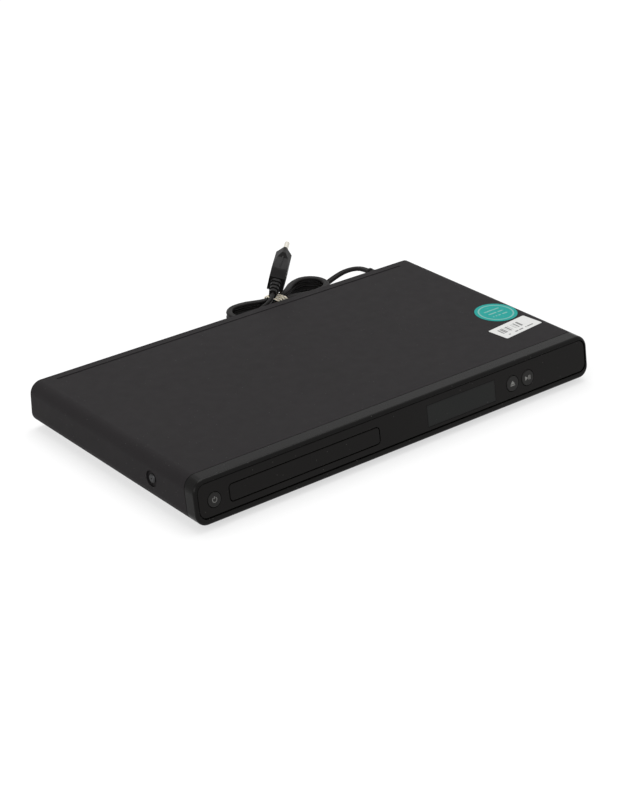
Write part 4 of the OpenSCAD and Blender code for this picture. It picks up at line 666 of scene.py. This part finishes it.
def quarter(radius, steps=5):
    """Depth and inset along a rounded edge, from the front to the side."""
    return [(radius * (1 - math.cos(a)), radius * (1 - math.sin(a)))
            for a in (math.pi / 2 * i / steps for i in range(steps + 1))]


def face_point(x, h, d):
    """A point of the leaning front: across, up from the underside, in from the lower edge."""
    return Vector((x, FRONT_Y + d + h * FACE_SLOPE, FOOT_H + h)) * MM


def corners(spots, steps):
    """An outline round corner centres, each with its radius and first angle."""
    return [(x + r * math.cos(a), h + r * math.sin(a))
            for x, h, r, first in spots
            for a in (math.radians(first + 90 * i / steps) for i in range(steps + 1))]


def casing(inset, steps=14):
    """The outline of the casing seen from the front, drawn in by the inset."""
    low = LOW_R - inset
    top = TOP_R - inset
    return corners([(HALF_W - LOW_R, LOW_R, low, -90), (HALF_W - TOP_R, BODY_H - TOP_R, top, 0),
                    (TOP_R - HALF_W, BODY_H - TOP_R, top, 90), (LOW_R - HALF_W, LOW_R, low, 180)],
                   steps)


def widened(box, gap):
    """The rounded box with a gap added all round."""
    x, h, w, tall, r = box
    return x, h, w + 2 * gap, tall + 2 * gap, r + gap


def rounded(box, steps=10):
    """An outline function for a rounded box, which draws it in by an inset."""
    x, h, w, tall, r = box

    def outline(inset):
        half_w = w / 2 - r
        half_h = tall / 2 - r
        now = max(r - inset, 0.02)
        return corners([(x + half_w, h - half_h, now, -90), (x + half_w, h + half_h, now, 0),
                        (x - half_w, h + half_h, now, 90), (x - half_w, h - half_h, now, 180)],
                       steps)
    return outline


def along_face(outline, steps):
    """A solid through the outline at pairs of depth and inset behind the leaning face."""
    return loft([[face_point(x, h, d) for x, h in outline(inset)] for d, inset in steps])


def mouth(outline, front, radius, end):
    """A cutter whose mouth is flared by a rounded edge."""
    return along_face(outline, [(front - 1, -radius)]
                      + [(front + d, -i) for d, i in quarter(radius)] + [(end, 0)])


def on_face(x, h):
    """The frame of a key: its origin on the face, local Y into the casing."""
    return (Matrix.Translation(face_point(x, h, 0))
            @ Matrix.Rotation(-LEAN, 4, "X") @ Matrix.Scale(MM, 4))


def turned(place, profile, steps=64):
    """A solid of revolution about the local Y of a frame, through pairs of depth and radius."""
    return loft([[place @ Vector((r * math.cos(a), y, r * math.sin(a)))
                  for a in (2 * math.pi * i / steps for i in range(steps))]
                 for y, r in profile])


# ---- mains lead ----

def smooth_path(points, parts):
    """Points of a smooth curve through the given ones."""
    made = []
    for i in range(len(points) - 1):
        before = points[max(i - 1, 0)]
        a, b = points[i], points[i + 1]
        after = points[min(i + 2, len(points) - 1)]
        for k in range(parts):
            t = k / parts
            made.append(0.5 * (2 * a + (b - before) * t
                               + (2 * before - 5 * a + 4 * b - after) * t ** 2
                               + (3 * a - before - 3 * b + after) * t ** 3))
    return made + [points[-1]]


def on_hank(x, y, level):
    """A point of the hank from its own middle, x along it, and its level."""
    c, s = math.cos(HANK_TURN), math.sin(HANK_TURN)
    return Vector((HANK_X + x * c - y * s, HANK_Y + x * s + y * c,
                   LEVEL_LOW + level * LEVEL_STEP))


def lead_path():
    """From the strain relief down to the surface and round to the first fold."""
    route = [(160, 28, 20), (160, 33, 19.9), (159.2, 39, 19.3), (156.2, 44.8, 17.8),
             (150.6, 49.2, 15.4), (143.2, 51.2, 12.3), (135, 51.7, 9.1), (126.8, 51.3, 6.4),
             (118.4, 50.3, 4.4), (110, 49.1, 3.3)]
    return smooth_path([Vector((x, REAR_Y + y, z)) for x, y, z in route]
                       + [on_hank(FOLD_X + 0.6, FOLD_R, 0)], 3)


def run_points(steps=6):
    """A run from one fold to the other through the waist, as x and y from the middle."""
    run = FOLD_X - WAIST_FLAT
    rise = FOLD_R - WAIST_Y
    radius = (run * run + rise * rise) / (4 * rise)
    turn = 2 * math.atan(rise / run)
    half = []
    for i in range(steps + 1):
        q = i / steps
        if q < 0.5:
            half.append((radius * math.sin(2 * q * turn), radius * (1 - math.cos(2 * q * turn))))
        else:
            half.append((run - radius * math.sin(2 * (1 - q) * turn),
                         rise - radius * (1 - math.cos(2 * (1 - q) * turn))))
    return ([(FOLD_X - x, FOLD_R - y) for x, y in half]
            + [(x - FOLD_X, FOLD_R - y) for x, y in reversed(half)])


def fold(side, level, angles):
    """Points round the fold at the right, 1, or the left, -1."""
    return [(side * (FOLD_X + FOLD_R * math.sin(math.radians(a))),
             -side * FOLD_R * math.cos(math.radians(a)), level) for a in angles]


def hank_path():
    """The folded lead: level runs behind, rising runs in front, then the turn up to the plug."""
    run = run_points()
    turn = range(15, 180, 15)
    spots = []
    for level in range(LEVELS - 1):
        spots += [(x, y, level) for x, y in run]
        spots += fold(-1, level, turn)
        spots += [(-x, -y, level + max(0, FOLD_X - x) / (2 * FOLD_X)) for x, y in run]
        spots += fold(1, level + 1, turn)
    spots += [(x, y, LEVELS - 1) for x, y in run]
    spots += fold(-1, LEVELS - 1, range(15, 91, 15))
    flat = [on_hank(*spot) for spot in spots]
    a, b = flat[-1], on_hank(-FOLD_X - FOLD_R, -RISE_LOW, LEVELS - 1)
    c, d = PLUG_AT - (RISE_HIGH + CORD_W) * PLUG_DIR, PLUG_AT - CORD_W * PLUG_DIR
    rise = [(1 - t) ** 3 * a + 3 * t * (1 - t) ** 2 * b + 3 * t * t * (1 - t) * c + t ** 3 * d
            for t in (i / RISE_STEPS for i in range(1, RISE_STEPS + 1))]
    return flat, rise + [PLUG_AT]


def twin_section():
    """A flat twin lead: two round cores with a shallow groove between them."""
    half = CORD_W / 2
    r = CORD_T / 2
    lobe = half - r
    right = [(lobe + r * math.cos(math.radians(a)), r * math.sin(math.radians(a)))
             for a in range(-90, 91, 30)]
    left = [(-x, -y) for x, y in right]
    groove = r * 0.8
    return right + [(0, groove)] + left + [(0, -groove)]


def swept(path, section, turns):
    """A solid along the path, its section turned by the given degrees at each point."""
    rings = []
    for i, p in enumerate(path):
        t = (path[min(i + 1, len(path) - 1)] - path[max(i - 1, 0)]).normalized()
        u = Vector((t.y, -t.x, 0)).normalized()
        v = u.cross(t)
        a = math.radians(turns[i])
        rings.append([(p + (x * math.cos(a) - y * math.sin(a)) * u
                       + (x * math.sin(a) + y * math.cos(a)) * v) * MM for x, y in section])
    return loft(rings)


def thinned(path, least=0.4):
    """The path without points that lie closer than this to the one before."""
    kept = [path[0]]
    for p in path[1:]:
        if (p - kept[-1]).length > least:
            kept.append(p)
    return kept


def mains_lead():
    """The lead and its hank as one piece, and the points that it runs through."""
    flat, rise = hank_path()
    level = thinned(lead_path() + flat)
    path = level + rise
    turns = ([0] * len(level)
             + [PLUG_TURN * min(1, (i + 1) / RISE_STEPS) for i in range(len(rise))])
    mesh = mesh_of("mains_lead", swept(path, twin_section(), turns), 60)
    return stand_in("mains_lead", mesh, "cord_lead", "cord_hank", even=False), path


def band_ring(y_half, low, high, corner=2.0, steps=4):
    """One turn of the band round the waist, as pairs of y and z."""
    spots = [(y_half, low, -90), (y_half, high, 0), (-y_half, high, 90), (-y_half, low, 180)]
    ring = []
    for y, z, first in spots:
        cy = y - math.copysign(corner, y)
        cz = z + corner if z == low else z - corner
        for i in range(steps + 1):
            a = math.radians(first + 90 * i / steps)
            ring.append((cy + corner * math.cos(a), cz + corner * math.sin(a)))
    return ring


def elastic(turns=4, pitch=2.7, width=1.55, thick=1.0):
    """The band wound round the waist of the hank, each turn lying a little differently."""
    ring = band_ring(WAIST_Y + CORD_W / 2 + BAND_SLACK + thick / 2, LEVEL_LOW - CORD_T / 2 - 0.8,
                     LEVEL_LOW + (LEVELS - 1) * LEVEL_STEP + CORD_T / 2 + 0.4 + thick / 2)
    count = len(ring) * turns
    path = []
    for i in range(count + 1):
        y, z = ring[i % len(ring)]
        sway = 0.16 * math.sin(1.7 * i / len(ring) * math.pi + 0.6)
        at = on_hank(BAND_X + pitch * (i / len(ring) - turns / 2) + sway, y, 0)
        path.append(Vector((at.x, at.y, z)))
    r = 0.3
    x, y = width / 2 - r, thick / 2 - r
    section = corners([(x, -y, r, -90), (x, y, r, 0), (-x, y, r, 90), (-x, -y, r, 180)], 2)
    rings = []
    for i, p in enumerate(path):
        t = (path[min(i + 1, count)] - path[max(i - 1, 0)]).normalized()
        out = t.cross(on_hank(1, 0, 0) - on_hank(0, 0, 0)).normalized()
        side = out.cross(t).normalized()
        rings.append([(p + x * side + y * out) * MM for x, y in section])
    return stand_in("elastic_band", mesh_of("elastic_band", loft(rings), 50), "rubber_band",
                    even=False)


lead, lead_points = mains_lead()
band = elastic()
plug = refined("plug", 0.7, 3, 30)
pins = refined("plug_pins", 0.3, 3, 30)
tuple(lead_points[0] * MM)
sum((b - a).length for a, b in zip(lead_points, lead_points[1:])) * MM
[tuple(p * MM) for p in lead_points]


# ---- floor and light ----

def make_floor():
    """White paper: lit like the object, and shown a little nearer to plain white than lit."""
    look = Look("paper_floor", Specular_IOR_Level=0.1)
    tone = look.noise(400, 2)
    look.surface(Base_Color=look.mix(tone, (0.86, 0.86, 0.86), (0.87, 0.87, 0.87)),
                 Roughness=0.85 + tone * 0.1)
    look.bump(tone, 0.02, 0.1)
    paper = Value(look, look.shader.outputs[0])
    white = look.node("Emission", {}, (1, 1, 1), 1)
    shown = look.node("MixShader", {}, look.seen_directly() * 0.6, paper, white)
    look.put(look.output.inputs[0], shown)
    bm = bmesh.new()
    bmesh.ops.create_grid(bm, x_segments=2, y_segments=2, size=9)
    floor = bpy.data.objects.new("floor", mesh_of("floor", bm))
    floor.data.materials.append(look.material)
    bpy.context.scene.collection.objects.link(floor)


def make_world(strength):
    """An even white room that lights at this strength and is seen as plain white."""
    world = bpy.data.worlds.new("studio")
    world.use_nodes = True
    room = Nodes(world.node_tree)
    background = room.tree.nodes["Background"]
    room.put(background.inputs["Color"], (1, 1, 1))
    room.put(background.inputs["Strength"], strength + room.seen_directly() * (1 - strength))
    bpy.context.scene.world = world


def softbox(name, at, size, power):
    """A rectangular lamp that faces the middle of the casing."""
    data = bpy.data.lights.new(name, "AREA")
    data.shape = "RECTANGLE"
    data.size, data.size_y = size
    data.energy = power
    lamp = bpy.data.objects.new(name, data)
    lamp.location = at
    lamp.rotation_euler = Vector(at).to_track_quat("Z", "Y").to_euler()
    bpy.context.scene.collection.objects.link(lamp)


make_floor()
make_world(0.78)
softbox("overhead", (0.3, 0.5, 2.2), (1.8, 1.8), 32)
softbox("left", (-2.0, -0.5, 0.9), (1.4, 1.0), 14)
bpy.context.scene.view_settings.view_transform = "Standard"


# ---- front ----

def front_panel():
    """The moulded front: rounded outer edge, recess for the fascia, openings, tongue and posts."""
    body = along_face(casing, [(d, i) for d, i in quarter(EDGE_R, 8)]
                      + [(PANEL_D - 0.15, 0), (PANEL_D, 0.15)])
    x, h, w, tall, r = WINDOW
    cutters = [along_face(lambda i: casing(PANEL_WALL + i), [(BACKING, 0), (PANEL_D + 1, 0)]),
               mouth(rounded(widened(FASCIA, GROOVE), 12), 0, 0.3, FASCIA_BACK),
               mouth(rounded(widened(DOOR, DOOR_GAP)), FASCIA_BACK, 0.2, PANEL_D + 1),
               along_face(rounded((x, h, w - 3, tall - 3, r)), [(0, 0), (PANEL_D, 0)])]
    cutters += [turned(on_face(x, KEY_H), [(-1, d / 2 + KEY_GAP), (PANEL_D, d / 2 + KEY_GAP)])
                for x, d in KEYS.values()]
    solid = cut(body, cutters)
    tongue = cut(along_face(lambda i: casing(1 + i), [(PANEL_D - 1.2, 0), (PANEL_D + 4, 0)]),
                 [along_face(lambda i: casing(2.2 + i), [(PANEL_D - 3, 0), (PANEL_D + 5, 0)])])
    posts = [turned(on_face(x, h), [(BACKING - 0.8, 2.2), (11.4, 2.2)], 24) for x, h in POSTS]
    mesh = mesh_of("front_panel_piece", joined([solid, tongue, *posts]))
    return stand_in("front_panel_piece", mesh, "front_panel")


def fascia():
    """The glossy plate: rounded rim, openings with a fine rounded lip."""
    x, h, w, tall, r = WINDOW
    body = along_face(rounded(FASCIA, 12),
                      [(FASCIA_IN + d, i) for d, i in quarter(0.45)] + [(FASCIA_BACK, 0)])
    cutters = [mouth(rounded(widened(DOOR, DOOR_GAP)), FASCIA_IN, 0.3, FASCIA_BACK + 1),
               mouth(rounded((x, h, w + 0.3, tall + 0.3, r + 0.1)), FASCIA_IN, 0.12,
                     FASCIA_BACK + 1)]
    lip = FASCIA_IN * math.cos(LEAN)
    for x, d in KEYS.values():
        r = d / 2 + KEY_GAP
        cutters.append(turned(on_face(x, KEY_H), [(lip - 1, r + 0.25)]
                              + [(lip + a, r + b) for a, b in quarter(0.25)] + [(PANEL_D, r)]))
    mesh = mesh_of("front_fascia_piece", cut(body, cutters))
    return stand_in("front_fascia_piece", mesh, "front_fascia")


def plate(box, back, radius):
    """A plate from the fascia's depth to the back, its front edge rounded by the radius."""
    return along_face(rounded(box), [(FASCIA_IN + d, i) for d, i in quarter(radius)]
                      + [(back - 0.1, 0), (back, 0.1)])


def window():
    mesh = mesh_of("display_window_piece", plate(WINDOW, FASCIA_BACK, 0.2))
    return stand_in("display_window_piece", mesh, "display_window")


def tray_door():
    """The door with softly rounded edges and the two lugs that meet the tray."""
    front, back = LUG_Y
    lugs = []
    for side in (-1, 1):
        x = DOOR[0] + side * LUG_X
        rings = []
        for z in LUG_Z:
            near = front + (z - FOOT_H) * FACE_SLOPE
            rings.append([Vector((x + dx, FRONT_Y + y, z)) * MM
                          for dx, y in ((-LUG_HALF, near), (LUG_HALF, near), (LUG_HALF, back),
                                        (-LUG_HALF, back))])
        lugs.append(loft(rings))
    mesh = mesh_of("tray_door_piece", joined([plate(DOOR, FASCIA_IN + 2, 0.55), *lugs]))
    return stand_in("tray_door_piece", mesh, "tray_door", look=LOOKS["fascia_black"])


def key(name):
    """A round key: rounded cap edge, rim behind the panel and a stem."""
    x, d = KEYS[name]
    r = d / 2
    profile = ([(KEY_FRONT, r - 0.9), (KEY_FRONT + 0.02, r - 0.6)]
               + [(KEY_FRONT + 0.02 + a, r - b) for a, b in quarter(0.4)]
               + [(KEY_SEAT, r), (KEY_SEAT, r + 0.9), (KEY_SEAT + 0.1, r + 1),
                  (KEY_SEAT + 0.9, r + 1), (KEY_SEAT + 1, r + 0.9), (KEY_SEAT + 1, 2),
                  (6.8, 2)])
    node = name + "_button"
    return stand_in(node + "_piece", mesh_of(node, turned(on_face(x, KEY_H), profile)), node)


def prism(place, outline, y0, y1):
    """A thin solid over a drawing of local X and Z."""
    return loft([[place @ Vector((x, y, z)) for x, z in outline] for y in (y0, y1)])


def arc_band(inner, outer, first, last, steps=28):
    """The outline of a part of a ring, from the first to the last angle in degrees."""
    angles = [math.radians(first + (last - first) * i / steps) for i in range(steps + 1)]
    return ([(outer * math.cos(a), outer * math.sin(a)) for a in angles]
            + [(inner * math.cos(a), inner * math.sin(a)) for a in reversed(angles)])


def ink(name, body, x, shapes):
    """A printed standard symbol on a key cap."""
    place = on_face(x, KEY_H)
    bm = joined([prism(place, shape, KEY_FRONT - 0.02, KEY_FRONT + 0.1) for shape in shapes])
    mesh = mesh_of(name, bm)
    mesh.materials.append(INK)
    piece = bpy.data.objects.new(name, mesh)
    bpy.context.scene.collection.objects.link(piece)
    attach(piece, body)


front_panel()
fascia()
window()
tray_door()
for key_name in KEYS:
    key(key_name)
ink("eject_symbol", "eject_key", KEYS["eject"][0],
    [[(-2.1, -0.4), (2.1, -0.4), (0, 2.1)],
     [(-2.1, -1.7), (2.1, -1.7), (2.1, -0.9), (-2.1, -0.9)]])
ink("play_symbol", "play_key", KEYS["play"][0],
    [[(-2.6, -1.7), (0.1, 0), (-2.6, 1.7)], [(0.7, -1.6), (1.35, -1.6), (1.35, 1.6), (0.7, 1.6)],
     [(1.95, -1.6), (2.6, -1.6), (2.6, 1.6), (1.95, 1.6)]])
ink("power_symbol", "power_key", KEYS["power"][0],
    [arc_band(1.55, 1.95, 120, 420), [(-0.22, 0.5), (0.22, 0.5), (0.22, 2.3), (-0.22, 2.3)]])

# ---- casing, boards and drive ----

for node, width in (("top_cover", 0.22), ("cover_screws", 0.15), ("disc_tray", 0.2),
                    ("feet", 0.4), ("rear_panel", 0.1), ("round_sticker", 0.03),
                    ("blank_label", 0.03), ("strain_relief", 0.2)):
    refined(node, width, merged=node != "rear_panel")

for node, piece in NODES.items():
    if not piece.hide_render:
        for slot in piece.material_slots:
            slot.link = "OBJECT"
            slot.material = LOOKS[SLOT[node]]
